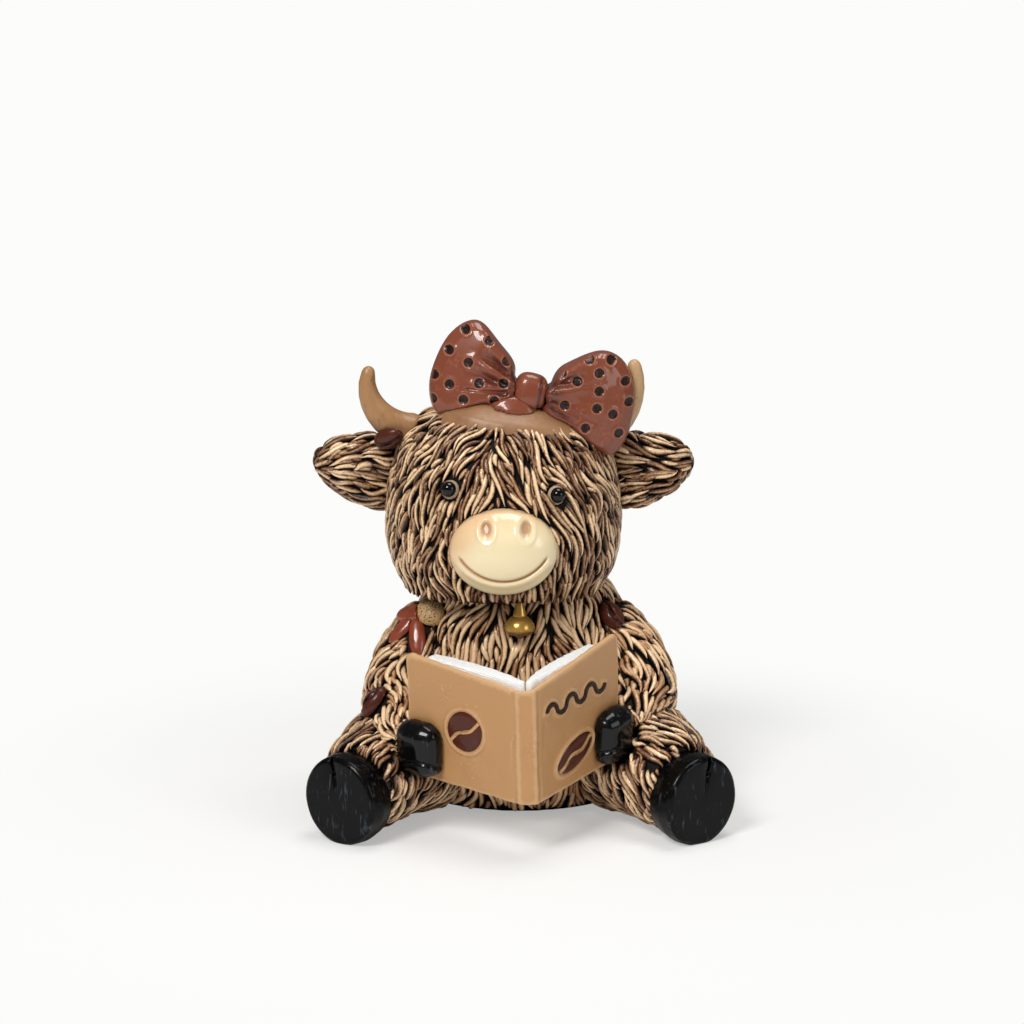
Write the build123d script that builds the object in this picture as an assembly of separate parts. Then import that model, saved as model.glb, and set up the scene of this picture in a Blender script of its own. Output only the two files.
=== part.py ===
from build123d import *
import math
import os

# Seated highland cow figurine reading an open book, cast in resin, in millimetres.
# It faces -Y and stands on Z = 0, with the origin in the middle of its flat base.
# Left and right are as seen from the front: left is -X.

LEFT = -1
RIGHT = 1
GLUE_GAP = 0.1
FAR = 200.0

# Domes
DOME_BANDS = 4
DOME_TOP = 74

# Body: stacked ovals, flat underneath
BODY_WIDTH = 63.0
BODY_DEPTH = 52.0
BODY_HEIGHT = 60.0
BODY_SET_BACK = 5.0
BODY_LEAN = 1.0
BODY_BANDS = 12
BODY_PROFILE = (
    # share of height, share of width, share of depth
    (0.00, 0.80, 0.76),
    (0.07, 0.94, 0.90),
    (0.20, 1.00, 1.00),
    (0.40, 0.96, 0.94),
    (0.60, 0.87, 0.83),
    (0.80, 0.75, 0.70),
    (0.93, 0.55, 0.54),
    (1.00, 0.38, 0.39),
)

# Head: stacked ovals that start inside the neck
HEAD_WIDTH = 54.0
HEAD_DEPTH = 49.0
HEAD_HEIGHT = 46.5
HEAD_SINK = 9.0
HEAD_SIDE_SHIFT = -4.0
HEAD_FORWARD = 3.0
HEAD_LEAN = 0.3
HEAD_BANDS = 14
HEAD_PROFILE = (
    # share of height, share of width, share of depth
    (0.00, 0.56, 0.50),
    (0.05, 0.77, 0.74),
    (0.15, 0.93, 0.91),
    (0.32, 1.00, 1.00),
    (0.54, 0.99, 0.99),
    (0.73, 0.93, 0.92),
    (0.87, 0.80, 0.79),
    (0.96, 0.57, 0.57),
    (1.00, 0.30, 0.30),
)

# Muzzle: an egg lying across the face, with nostrils and a smile
MUZZLE_WIDTH = 25.4
MUZZLE_ABOVE = 11.0
MUZZLE_BELOW = 10.0
MUZZLE_DEPTH = 7.0
MUZZLE_BEDDING = 1.0
MUZZLE_TURNS = (-42, -14, 12, 32, 49, 63, 76)
MUZZLE_UP = 14.8
NOSTRIL_WIDTH = 2.9
NOSTRIL_HEIGHT = 4.6
NOSTRIL_SPACING = 9.0
NOSTRIL_UP = 6.2
NOSTRIL_SHIFT = 0.7
NOSTRIL_DEPTH = 1.2
SMILE_RADIUS = 13.0
SMILE_CENTRE_UP = 6.4
SMILE_HALF_ANGLE = 51.0
SMILE_WIDTH = 0.6
SMILE_DEPTH = 0.6

# Eyes: glass-look beads, each in a moulded rim
EYE_DIAMETER = 2.9
EYE_SPACING = 24.2
EYE_UP = 29.2
RIGHT_EYE_DROP = 1.2
EYE_PROUD = 2.3
RIM_FOOT = 0.9
RIM_TOP = 0.36
RIM_HEIGHT = 0.92

# Ears: scooped leaves that stand out from the temples
EAR_LENGTH = 17.2
EAR_TALLEST = 17.4
EAR_THICKNESS = 9.6
EAR_UP = 29.0
EAR_ROOT_DEPTH = 6.0
EAR_TIP_LIFT = 3.0
EAR_BANDS = 8
EAR_SCOOP_LENGTH = 14.0
EAR_SCOOP_ROOT_RADIUS = 4.4
EAR_SCOOP_TIP_RADIUS = 1.8
EAR_SCOOP_DEPTH = 3.2
EAR_SCOOP_OUT = 7.0
EAR_SCOOP_DROP = 1.0
EAR_SCOOP_SLANT = 16.0
EAR_PROFILE = (
    # share of length out from the root, share of height, share of thickness
    (0.00, 0.70, 0.80),
    (0.28, 1.00, 1.00),
    (0.60, 0.90, 0.95),
    (0.84, 0.64, 0.75),
    (0.96, 0.38, 0.48),
    (1.00, 0.20, 0.28),
)

# Horns: round tapered horns that sweep out and up
HORN_BASE_DIAMETER = 8.8
HORN_TIP_DIAMETER = 3.4
LEFT_HORN_SPREAD = 10.2
RIGHT_HORN_SPREAD = 9.2
LEFT_HORN_RISE = 14.4
RIGHT_HORN_RISE = 16.0
HORN_OUT = 21.5
HORN_UP = 39.5
HORN_BANDS = 8
HORN_CURVE = (
    # share of spread, millimetres forward, share of rise
    (0.00, 0.0, 0.00),
    (0.55, 1.0, 0.16),
    (0.95, 2.0, 0.52),
    (1.00, 3.0, 1.00),
)
HORN_TAPER = (0.00, 0.20, 0.46, 0.74, 1.00)

# Bow on the head: padded loops, pleated knot, flap and the smooth bed they lie on
BOW_BED_WIDTH = 38.0
BOW_BED_DEPTH = 28.0
BOW_BED_RISE = 8.0
BOW_BED_SKIRT = -35
BOW_BED_DROP = 5.6
BOW_BED_SHIFT = 2.0
BOW_BED_FORWARD = 4.5
BOW_BED_ROLL = 8.6
BOW_SHIFT = 6.2
BOW_FORWARD = 9.0
BOW_RISE = 3.7
BOW_ROLL = 14.4
BOW_LEAN = 6.0
LOOP_THICKNESS = 10.6
LOOP_TWIST = 8.0
LOOP_ROOT = 4.0
LOOP_TURNS = (-75, -50, -25, 0, 25, 50, 75)
LOOP_FULLNESS = 0.4
LEFT_LOOP_OUTLINE = (
    (-2.6, 0.0),
    (-5.0, 4.2),
    (-11.0, 10.2),
    (-16.2, 13.2),
    (-20.6, 10.2),
    (-23.4, 2.5),
    (-23.0, -6.0),
    (-19.8, -10.4),
    (-12.0, -7.2),
    (-5.0, -4.2),
)
RIGHT_LOOP_OUTLINE = (
    (2.6, 0.0),
    (4.6, 4.8),
    (8.8, 10.0),
    (15.0, 13.7),
    (19.8, 12.4),
    (23.8, 7.0),
    (25.4, -0.6),
    (22.4, -9.8),
    (13.4, -7.6),
    (5.0, -4.2),
)
PLEAT_START = 1.5
PLEAT_END = 0.5
PLEATS = (
    # across and up near the knot, across and up at the far end
    ((5.0, 1.6), (16.0, 6.4)),
    ((5.2, -1.4), (17.5, -3.4)),
)
KNOT_WIDTH = 7.4
KNOT_HEIGHT = 8.6
KNOT_DEPTH = 9.4
KNOT_ROUNDING = 2.4
FLAP_WIDTH = 13.0
FLAP_HEIGHT = 11.2
FLAP_RISE = 3.6
FLAP_SKIRT = -50
FLAP_SHIFT = -2.6
FLAP_FORWARD = 2.4
FLAP_DROP = 2.1

# Arms and front hooves
ARM_DIAMETER = 16.6
WRIST_DIAMETER = 12.6
SHOULDER_SPREAD = 39.0
SHOULDER_DROP = 18.0
ELBOW_SPREAD = 56.6
ELBOW_HEIGHT = 28.6
ELBOW_FORWARD = 11.0
SHOULDER_FORWARD = 2.0
UPPER_ARM_BULGE = (1.2, 2.0, 1.0)
FOREARM_BULGE = (1.2, -1.5, -1.6)
ARM_BANDS = 9
HAND_LENGTH = 12.0
HAND_THICKNESS = 9.2
HAND_HEIGHT = 13.4
HAND_ROUNDING = 3.8
HAND_OVERHANG = 1.4
HAND_UP = 7.9
HAND_PROUD = 0.8

# Legs and rear hooves
LEG_SPLAY = 34.0
LEG_REACH = 36.5
LEG_BANDS = 4
HIP_SPREAD = 43.0
HIP_FORWARD = 7.6
HIP_HEIGHT = 14.2
THIGH_DIAMETER = 27.0
ANKLE_DIAMETER = 18.8
ANKLE_BEDDING = 1.0
KNEE_RISE = 2.6
SOLE_WIDTH = 19.8
SOLE_HEIGHT = 20.8
SOLE_ROLL = 12.0
SOLE_ROUNDING = 0.7
HOOF_THICKNESS = 8.0
HOOF_FLAT = 0.4
CLEFT_WIDTH = 1.3
CLEFT_DEPTH = 1.4
CLEFT_LENGTH = 12.8

# Open book: a cover folded at its spine and two page blocks
BOOK_SIDE_SHIFT = 1.7
BOOK_REACH = 49.0
BOOK_LIFT = 12.8
BOOK_LEAN = 7.0
BOOK_ROLL = -1.5
SPINE_HEIGHT = 27.4
LEFT_TOP_CLIMB = 5.5
RIGHT_TOP_CLIMB = 11.0
CORNER_ROUNDING = 1.6
BOARD_WIDTH = 32.0
BOARD_THICKNESS = 1.6
BOARD_ROUNDING = 0.5
SPINE_WIDTH = 4.0
LEFT_BOARD_ANGLE = 38.0
RIGHT_BOARD_ANGLE = 52.0
HINGE_GROOVE = 0.45
HINGE_FROM_SPINE = 1.2
PAGE_INSET = 4.6
PAGE_MARGIN = 0.9
PAGE_HEIGHT = 27.2
PAGE_THICKNESS = 3.4
PAGE_SWELL = 0.4
PAGE_FALL = 0.5
GUTTER_DEPTH = 0.9

# Raised decoration on the cover
COVER_BEAN_RISE = 0.9
LEFT_COVER_BEAN_PLACE = (15.0, 14.5)
LEFT_COVER_BEAN_SIZE = (10.6, 9.8)
RIGHT_COVER_BEAN_PLACE = (14.2, 7.8)
RIGHT_COVER_BEAN_SIZE = (14.0, 6.8)
LEFT_COVER_BEAN_SLANT = 32.0
RIGHT_COVER_BEAN_SLANT = 19.0
SCROLL_LENGTH = 22.0
SCROLL_SWING = 1.5
SCROLL_WAVES = 3
SCROLL_STROKE = 1.0
SCROLL_RISE = 0.5
SCROLL_FROM_SPINE = 4.0
SCROLL_UP = 21.0

# Bell under the chin
BELL_DIAMETER = 7.2
BELL_HEIGHT = 4.6
BELL_PROUD = 2.4
BELL_UP = 45.2
BELL_SHIFT = -0.2
HANGER_HEIGHT = 6.4
HANGER_DIAMETER = 4.4
HANGER_TOP_DIAMETER = 1.0
CLAPPER_DIAMETER = 2.2
CLAPPER_FORWARD = 0.9

# Coffee beans on the coat
BEAN_LENGTH = 8.8
BEAN_WIDTH = 5.6
BEAN_HEIGHT = 2.6
BEAN_CREASE = 0.45
BEAN_CREASE_DEPTH = 0.7
HEAD_BEAN_FROM_HORN = (-5.4, -0.8)
HEAD_BEAN_HEADING = (1, -0.2, 0.9)
ARM_BEAN_FROM_ELBOW = (-5.4, -10.4, 0.4)
ARM_BEAN_AIM = (0.5, 0.86, -0.3)
ARM_BEAN_HEADING = (0.25, 0, 1)
SHOULDER_BEAN_FROM_SHOULDER = (2.0, 4.9)
SHOULDER_BEAN_HEADING = (-0.45, 0, 1)

# Ribbon bow and button at the left shoulder
RIBBON_LOOP_LENGTH = 10.0
RIBBON_LOOP_WIDTH = 5.4
RIBBON_TAIL_LENGTH = 11.5
RIBBON_TAIL_WIDTH = 4.2
RIBBON_THICKNESS = 2.2
RIBBON_KNOT = 4.6
RIBBON_OVERLAP = 0.8
RIBBON_LOOP_RISE = 1.3
RIBBON_LOOP_SLANT = -20
TAIL_THICKNESS = 1.5
TAIL_TURNS = (-88, -142)
KNOT_ABOVE_SHOULDER = 7.4
KNOT_BESIDE_SHOULDER = 5.0
BUTTON_DIAMETER = 8.2
BUTTON_THICKNESS = 3.4
BUTTON_RISE = 0.4
BUTTON_TUCK = 2.6


# Stacks, limbs, domes and seats
def banded(rings):
    """Solid with straight bands from ring to ring."""
    return loft(rings, ruled=True)


def resampled(profile, bands):
    """Rows at even steps along a smooth curve through the profile's rows."""
    curve = Spline(*profile)
    return [tuple(curve @ (index / bands)) for index in range(bands + 1)]


def stack_of_ovals(profile, bands, size, base, centre_x, centre_y, lean, grow=0.0):
    """Form through horizontal ovals, whose middle comes back to Y = 0 with height by its lean."""
    width, depth, height = size
    ovals = []
    for share_up, share_wide, share_deep in resampled(profile, bands):
        place = Pos(centre_x, centre_y * (1 - lean * share_up**2), base + height * share_up)
        ovals.append(place * Ellipse(width * share_wide / 2 + grow, depth * share_deep / 2 + grow))
    return banded(ovals)


def value_along(values, share):
    """Value at a share of the way along evenly spaced values."""
    spot = share * (len(values) - 1)
    index = min(int(spot), len(values) - 2)
    return values[index] + (values[index + 1] - values[index]) * (spot - index)


def limb(points, diameters, bands, across, grow=0.0, dome_end=True):
    """Round limb along a smooth curve, domed at its start and, if asked, at its end."""
    path = Spline(*points)
    stations = []
    for index in range(bands + 1):
        share = index / bands
        radius = value_along(diameters, share) / 2 + grow
        stations.append((path @ share, path % share, radius))
    centre, heading, radius = stations[0]
    for angle in (50, 20):
        turn = math.radians(angle)
        behind = centre - heading * radius * math.cos(turn)
        stations.insert(0, (behind, heading, radius * math.sin(turn)))
    if dome_end:
        centre, heading, radius = stations[-1]
        for angle in (50, 20):
            turn = math.radians(angle)
            ahead = centre + heading * radius * math.cos(turn)
            stations.append((ahead, heading, radius * math.sin(turn)))
    rings = []
    for centre, heading, radius in stations:
        aside = Vector(*across) - heading * heading.dot(Vector(*across))
        rings.append(Plane(centre, x_dir=aside, z_dir=heading) * Circle(radius))
    return banded(rings)


def dome(length, width, height, start=0):
    """Oval dome over Z = 0 with a small flat top; a negative start angle carries it below."""
    rings = []
    for index in range(DOME_BANDS + 1):
        turn = math.radians(start + (DOME_TOP - start) * index / DOME_BANDS)
        ring = Ellipse(length / 2 * math.cos(turn), width / 2 * math.cos(turn))
        rings.append(Pos(0, 0, height * math.sin(turn)) * ring)
    return banded(rings)


def rounded_block(length, width, height, rounding):
    """Block along X with rounded sides, and ends that round over in two bands each."""
    rings = []
    for end in (-1, 1):
        for angle in (12, 45, 90)[::-end]:
            turn = math.radians(angle)
            inset = rounding * (1 - math.sin(turn))
            along = end * (length / 2 - rounding * (1 - math.cos(turn)))
            corner = max(rounding - inset, rounding / 6)
            section = RectangleRounded(width - 2 * inset, height - 2 * inset, corner)
            rings.append(Plane((along, 0, 0), x_dir=(0, 1, 0), z_dir=(1, 0, 0)) * section)
    return banded(rings)


def seat_on(forms, target, aim):
    """Point and outward normal where a line from afar through the target first meets a form."""
    start = Vector(*target) - Vector(*aim).normalized() * FAR
    hits = []
    for form in forms:
        hits += form.find_intersection_points(Axis(start, aim))
    return min(hits, key=lambda hit: (hit[0] - start).length)


def seat_plane(forms, target, aim, along):
    """Plane on the outermost surface, Z outwards, with X turned towards the direction along."""
    point, normal = seat_on(forms, target, aim)
    flat_along = Vector(*along) - normal * normal.dot(Vector(*along))
    return Plane(point, x_dir=flat_along, z_dir=normal)


# Body and head
def body_form(grow=0.0):
    size = (BODY_WIDTH, BODY_DEPTH, BODY_HEIGHT)
    return stack_of_ovals(BODY_PROFILE, BODY_BANDS, size, 0, 0, BODY_SET_BACK, BODY_LEAN, grow)


HEAD_BASE = BODY_HEIGHT - HEAD_SINK


def head_form(grow=0.0):
    size = (HEAD_WIDTH, HEAD_DEPTH, HEAD_HEIGHT)
    return stack_of_ovals(
        HEAD_PROFILE, HEAD_BANDS, size, HEAD_BASE, HEAD_SIDE_SHIFT, -HEAD_FORWARD, HEAD_LEAN, grow
    )


# Face
def egg_face(half_width, above, below):
    """Oval whose upper half is taller than its lower half."""
    upper = split(Ellipse(half_width, above), Plane.XZ, Keep.BOTTOM)
    lower = split(Ellipse(half_width, below), Plane.XZ, Keep.TOP)
    return (upper + lower).face()


def muzzle_egg(grow=0.0):
    """Egg that faces -Y, in bands from inside the face to a small flat front."""
    rings = []
    for angle in MUZZLE_TURNS:
        turn = math.radians(angle)
        share = math.cos(turn)
        ring = egg_face(
            MUZZLE_WIDTH / 2 * share + grow, MUZZLE_ABOVE * share + grow, MUZZLE_BELOW * share + grow
        )
        rings.append(Plane.XZ.offset((MUZZLE_DEPTH + grow) * math.sin(turn)) * ring)
    return banded(rings)


def smile_band(width):
    """Upright prism of a circular arc, open upwards, that stands through the muzzle's front."""
    arc = CenterArc((0, SMILE_CENTRE_UP), SMILE_RADIUS, 270 - SMILE_HALF_ANGLE, 2 * SMILE_HALF_ANGLE)
    band = trace(arc, width)
    return extrude(Plane.XZ * band, 2 * MUZZLE_DEPTH)


def nostril_form():
    """Oval pit with sloping walls that opens towards -Y and is true to size at Y = 0."""
    mouth = Ellipse(NOSTRIL_WIDTH * 0.65, NOSTRIL_HEIGHT * 0.65)
    floor = Ellipse(NOSTRIL_WIDTH * 0.35, NOSTRIL_HEIGHT * 0.35)
    return banded([Plane.XZ.offset(-NOSTRIL_DEPTH) * floor, Plane.XZ.offset(NOSTRIL_DEPTH) * mouth])


def muzzle_piece(head, head_grown):
    egg = muzzle_egg()
    form = egg - (smile_band(SMILE_WIDTH) - muzzle_egg(-SMILE_DEPTH))
    for side in (LEFT, RIGHT):
        target = (NOSTRIL_SHIFT + side * NOSTRIL_SPACING / 2, 0, NOSTRIL_UP)
        point, normal = seat_on([egg], target, (0, 1, 0))
        form = form - Pos(point) * nostril_form()
    return cut_by(muzzle_place(head) * form, [head_grown])


def muzzle_place(head):
    """The muzzle's middle lies on the face, bedded into it."""
    height = HEAD_BASE + MUZZLE_UP
    point, normal = seat_on([head], (HEAD_SIDE_SHIFT, 0, height), (0, 1, 0))
    return Pos(point) * Pos(0, MUZZLE_BEDDING, 0)


def eye_seat(head, side):
    """Plane against the face that an eye stands on."""
    height = HEAD_BASE + EYE_UP - (RIGHT_EYE_DROP if side == RIGHT else 0)
    target = (HEAD_SIDE_SHIFT + side * EYE_SPACING / 2, 0, height)
    return seat_plane([head], target, (0, 1, 0), (1, 0, 0))


def eye_piece(head, side):
    """Bead with a flat back, so that more than half of it stands out."""
    bead = Pos(0, 0, EYE_PROUD - EYE_DIAMETER / 2) * Sphere(EYE_DIAMETER / 2)
    return eye_seat(head, side) * Pos(0, 0, GLUE_GAP) * split(bead, Plane.XY, Keep.TOP)


def eye_rim_piece(head, side):
    """Sloping ring round the bead."""
    bore = EYE_DIAMETER / 2 + GLUE_GAP
    profile = Polyline(
        (bore, 0), (bore + RIM_FOOT, 0), (bore + RIM_TOP, RIM_HEIGHT), (bore, RIM_HEIGHT), close=True
    )
    ring = revolve(Plane.XZ * make_face(profile), Axis.Z)
    return eye_seat(head, side) * Pos(0, 0, GLUE_GAP) * ring


# Ears and horns
def ear_form(side, grow=0.0):
    """Leaf of upright ovals stacked sideways, out from the temple, whose tip lifts."""
    root_x = HEAD_WIDTH / 2 - EAR_ROOT_DEPTH
    ovals = []
    for share_out, share_tall, share_thick in resampled(EAR_PROFILE, EAR_BANDS):
        out = root_x + (EAR_LENGTH + EAR_ROOT_DEPTH) * share_out
        middle = HEAD_BASE + EAR_UP + EAR_TIP_LIFT * share_out**2
        plane = Plane((HEAD_SIDE_SHIFT + side * out, 0, middle), x_dir=(0, 0, 1), z_dir=(side, 0, 0))
        half_tall = EAR_TALLEST * share_tall / 2 + grow
        half_thick = EAR_THICKNESS * share_thick / 2 + grow
        ovals.append(plane * Ellipse(half_tall, half_thick))
    return banded(ovals)


def ear_piece(side, carriers):
    """Ear with a hollow in its front that narrows towards the tip."""
    scoop = Cone(EAR_SCOOP_ROOT_RADIUS, EAR_SCOOP_TIP_RADIUS, EAR_SCOOP_LENGTH)
    across = HEAD_SIDE_SHIFT + side * (HEAD_WIDTH / 2 + EAR_SCOOP_OUT)
    forward = EAR_THICKNESS / 2 + EAR_SCOOP_ROOT_RADIUS - EAR_SCOOP_DEPTH
    place = Pos(across, -forward, HEAD_BASE + EAR_UP - EAR_SCOOP_DROP)
    hollow = place * Rot(Y=-side * EAR_SCOOP_SLANT) * Rot(Y=side * 90) * scoop
    return cut_by(ear_form(side) - hollow, carriers)


def horn_root(side):
    return Vector(HEAD_SIDE_SHIFT + side * HORN_OUT, -HEAD_FORWARD, HEAD_BASE + HORN_UP)


def horn_form(side, grow=0.0):
    """Horn that leaves the crown sideways and turns up along a quarter sweep."""
    spread = LEFT_HORN_SPREAD if side == LEFT else RIGHT_HORN_SPREAD
    rise = LEFT_HORN_RISE if side == LEFT else RIGHT_HORN_RISE
    points = []
    for share_out, forward, share_up in HORN_CURVE:
        points.append(horn_root(side) + Vector(side * spread * share_out, -forward, rise * share_up))
    taper = HORN_BASE_DIAMETER - HORN_TIP_DIAMETER
    diameters = [HORN_BASE_DIAMETER - taper * share for share in HORN_TAPER]
    return limb(points, diameters, HORN_BANDS, (0, 1, 0), grow)


# Bow on the head
def bow_place():
    crown = HEAD_BASE + HEAD_HEIGHT
    spot = Pos(HEAD_SIDE_SHIFT + BOW_SHIFT, -HEAD_FORWARD - BOW_FORWARD, crown + BOW_RISE)
    return spot * Rot(Y=BOW_ROLL) * Rot(X=-BOW_LEAN)


def bow_bed_form(grow=0.0):
    """Smooth cushion between the crown and the bow."""
    crown = HEAD_BASE + HEAD_HEIGHT
    middle = Pos(HEAD_SIDE_SHIFT + BOW_BED_SHIFT, -HEAD_FORWARD - BOW_BED_FORWARD, crown - BOW_BED_DROP)
    cushion = dome(
        BOW_BED_WIDTH + 2 * grow, BOW_BED_DEPTH + 2 * grow, BOW_BED_RISE + grow, BOW_BED_SKIRT
    )
    return middle * Rot(Y=BOW_BED_ROLL) * cushion


def loop_form(outline, side, grow=0.0):
    """Padded loop: its outline shrinks towards the knot end as the layers leave the middle."""
    layers = []
    for angle in LOOP_TURNS:
        turn = math.radians(angle)
        points = []
        for across, up in outline:
            from_root = across - side * LOOP_ROOT
            share = math.cos(turn) ** LOOP_FULLNESS + grow / math.hypot(from_root, up)
            points.append((side * LOOP_ROOT + from_root * share, up * share))
        forward = (LOOP_THICKNESS / 2 + grow) * math.sin(turn)
        face = make_face(Spline(*points, periodic=True))
        layers.append(Plane((0, -forward, 0), x_dir=(1, 0, 0), z_dir=(0, -1, 0)) * face)
    return Rot(Z=side * LOOP_TWIST) * banded(layers)


def pleat(form, near, far):
    """Tapered valley pressed into a loop's front, from a point near the knot to one far out."""
    near_point, near_normal = seat_on([form], (near[0], 0, near[1]), (0, 1, 0))
    far_point, far_normal = seat_on([form], (far[0], 0, far[1]), (0, 1, 0))
    run = far_point - near_point
    middle = (near_point + far_point) / 2
    return Plane(middle, z_dir=run) * Cone(PLEAT_START / 2, PLEAT_END / 2, run.length)


def bow_loop_piece(outline, side, carriers):
    """Loop with its pleats, seated on whatever carries it."""
    form = loop_form(outline, side)
    for near, far in PLEATS:
        form = form - pleat(form, (side * near[0], near[1]), (side * far[0], far[1]))
    return cut_by(bow_place() * form, carriers)


def knot_form(grow=0.0):
    block = rounded_block(
        KNOT_HEIGHT + 2 * grow, KNOT_DEPTH + 2 * grow, KNOT_WIDTH + 2 * grow, KNOT_ROUNDING + grow
    )
    return bow_place() * Rot(Y=90) * block


def flap_piece(carriers):
    """Short ribbon flap that lies on the bed below the knot."""
    place = bow_place() * Pos(FLAP_SHIFT, -FLAP_FORWARD, -KNOT_HEIGHT / 2 - FLAP_DROP)
    leaf = Rot(X=90) * dome(FLAP_WIDTH, FLAP_HEIGHT, FLAP_RISE, FLAP_SKIRT)
    return cut_by(place * leaf, carriers)


# Book
def book_place():
    return Pos(BOOK_SIDE_SHIFT, -BOOK_REACH, BOOK_LIFT) * Rot(Y=BOOK_ROLL) * Rot(X=BOOK_LEAN)


def board_angle(side):
    return math.radians(LEFT_BOARD_ANGLE if side == LEFT else RIGHT_BOARD_ANGLE)


def board_point(side, along, inward):
    """Point of the folded cover's plan: along a board from the spine, and in from its outer face."""
    turn = board_angle(side)
    across = SPINE_WIDTH / 2 + along * math.cos(turn) - inward * math.sin(turn)
    back = along * math.sin(turn) + inward * math.cos(turn)
    return (side * across, back)


def inner_corner(side):
    """Where a board's inner face meets the spine's inner face."""
    return (side * (SPINE_WIDTH / 2 - BOARD_THICKNESS * math.tan(board_angle(side) / 2)), BOARD_THICKNESS)


def cover_plan():
    return make_face(
        Polyline(
            board_point(LEFT, BOARD_WIDTH, 0),
            (-SPINE_WIDTH / 2, 0),
            (SPINE_WIDTH / 2, 0),
            board_point(RIGHT, BOARD_WIDTH, 0),
            board_point(RIGHT, BOARD_WIDTH, BOARD_THICKNESS),
            inner_corner(RIGHT),
            inner_corner(LEFT),
            board_point(LEFT, BOARD_WIDTH, BOARD_THICKNESS),
            close=True,
        )
    )


def page_plan(side):
    """Fan of pages: flat on the board, square at the fore edge, rolling down into the gutter."""
    fore = BOARD_WIDTH - PAGE_INSET
    fold = BOARD_THICKNESS + GUTTER_DEPTH
    lift = GLUE_GAP + BOARD_THICKNESS
    top = lift + PAGE_THICKNESS
    half_gap = side * GLUE_GAP / 2
    corner_x, corner_y = inner_corner(side)
    roll = Spline(
        board_point(side, fore, top),
        board_point(side, fore * 0.55, top + PAGE_SWELL),
        board_point(side, fore * 0.22, top - PAGE_FALL),
        (half_gap, fold),
    )
    edge = Polyline(
        (half_gap, fold),
        (half_gap, BOARD_THICKNESS + GLUE_GAP),
        (corner_x, corner_y + GLUE_GAP),
        board_point(side, fore, lift),
        board_point(side, fore, top),
    )
    return make_face(Curve() + [roll, edge])


def cover_block(grow=0.0):
    """The folded cover, whose top edge rises from the spine to each outer corner."""
    plan = cover_plan()
    if grow:
        plan = offset(plan, grow)
    left_top = SPINE_HEIGHT + grow + BOARD_WIDTH * math.tan(math.radians(LEFT_TOP_CLIMB))
    right_top = SPINE_HEIGHT + grow + BOARD_WIDTH * math.tan(math.radians(RIGHT_TOP_CLIMB))
    top = max(left_top, right_top)
    waste = make_face(
        Polyline(
            (-BOARD_WIDTH, left_top),
            (0, SPINE_HEIGHT + grow),
            (BOARD_WIDTH, right_top),
            (BOARD_WIDTH, 2 * top),
            (-BOARD_WIDTH, 2 * top),
            close=True,
        )
    )
    block = Pos(0, 0, -grow) * extrude(plan, top + grow)
    return block - extrude(Plane.XZ * waste, 2 * BOARD_WIDTH, both=True)


def cover_form(grow=0.0):
    return book_place() * cover_block(grow)


def cover_piece():
    """Cover with rounded corners, softened rims and a pressed hinge groove each side of the spine."""
    cover = cover_block()
    ends = (cover.faces().sort_by(Axis.X)[0], cover.faces().sort_by(Axis.X)[-1])
    corners = [edge for end in ends for edge in end.edges().filter_by(Axis.Z, reverse=True)]
    cover = fillet(corners, CORNER_ROUNDING)
    cover = fillet(cover.edges().filter_by(Axis.Z, reverse=True), BOARD_ROUNDING)
    for side in (LEFT, RIGHT):
        spot = board_point(side, HINGE_FROM_SPINE, 0)
        groove = Pos(spot[0], spot[1], SPINE_HEIGHT / 2) * Cylinder(HINGE_GROOVE, 2 * SPINE_HEIGHT)
        cover = cover - groove
    return book_place() * cover


def page_form(side, grow=0.0):
    plan = page_plan(side)
    if grow:
        plan = offset(plan, grow)
    return book_place() * Pos(0, 0, PAGE_MARGIN - grow) * extrude(plan, PAGE_HEIGHT + 2 * grow)


def cover_face_plane(side, along, up):
    """Plane on a board's outer face, X away from the spine, Z out of the cover."""
    turn = board_angle(side)
    spot = board_point(side, along, 0)
    outwards = (side * math.sin(turn), -math.cos(turn), 0)
    heading = (math.cos(turn), side * math.sin(turn), 0)
    return Plane((spot[0], spot[1], up), x_dir=heading, z_dir=outwards)


def cover_bean(side, spot, size, slant):
    """Flat-backed coffee bean in low relief, with a crease from end to end."""
    length, width = size
    bean = dome(length, width, COVER_BEAN_RISE)
    crease = Pos(0, 0, COVER_BEAN_RISE) * Box(length, BEAN_CREASE, COVER_BEAN_RISE)
    plane = cover_face_plane(side, *spot)
    return book_place() * (plane * Pos(0, 0, GLUE_GAP) * Rot(Z=slant) * (bean - crease))


def cover_scroll_piece():
    """Running wave in relief: arcs that swing up and down by turns, parallel to the top edge."""
    step = SCROLL_LENGTH / (2 * SCROLL_WAVES)
    arcs = []
    for index in range(2 * SCROLL_WAVES):
        swing = SCROLL_SWING if index % 2 == 0 else -SCROLL_SWING
        start = (step * index, 0)
        arcs.append(SagittaArc(start, (step * (index + 1), 0), swing))
    wave = trace(arcs, SCROLL_STROKE)
    plane = cover_face_plane(RIGHT, SCROLL_FROM_SPINE, SCROLL_UP)
    return book_place() * (plane * Pos(0, 0, GLUE_GAP) * extrude(wave, SCROLL_RISE))


# Arms and front hooves
def hand_form(side, grow=0.0):
    """Rounded hoof that wraps the outer edge of a board."""
    middle = board_point(side, BOARD_WIDTH + HAND_OVERHANG - HAND_LENGTH / 2, -HAND_PROUD)
    turn = side * math.degrees(board_angle(side))
    block = rounded_block(
        HAND_LENGTH + 2 * grow, HAND_THICKNESS + 2 * grow, HAND_HEIGHT + 2 * grow, HAND_ROUNDING + grow
    )
    return book_place() * Pos(middle[0], middle[1], HAND_UP) * Rot(Z=turn) * block


def shoulder_point(side):
    return Vector(side * SHOULDER_SPREAD / 2, -SHOULDER_FORWARD, BODY_HEIGHT - SHOULDER_DROP)


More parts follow.
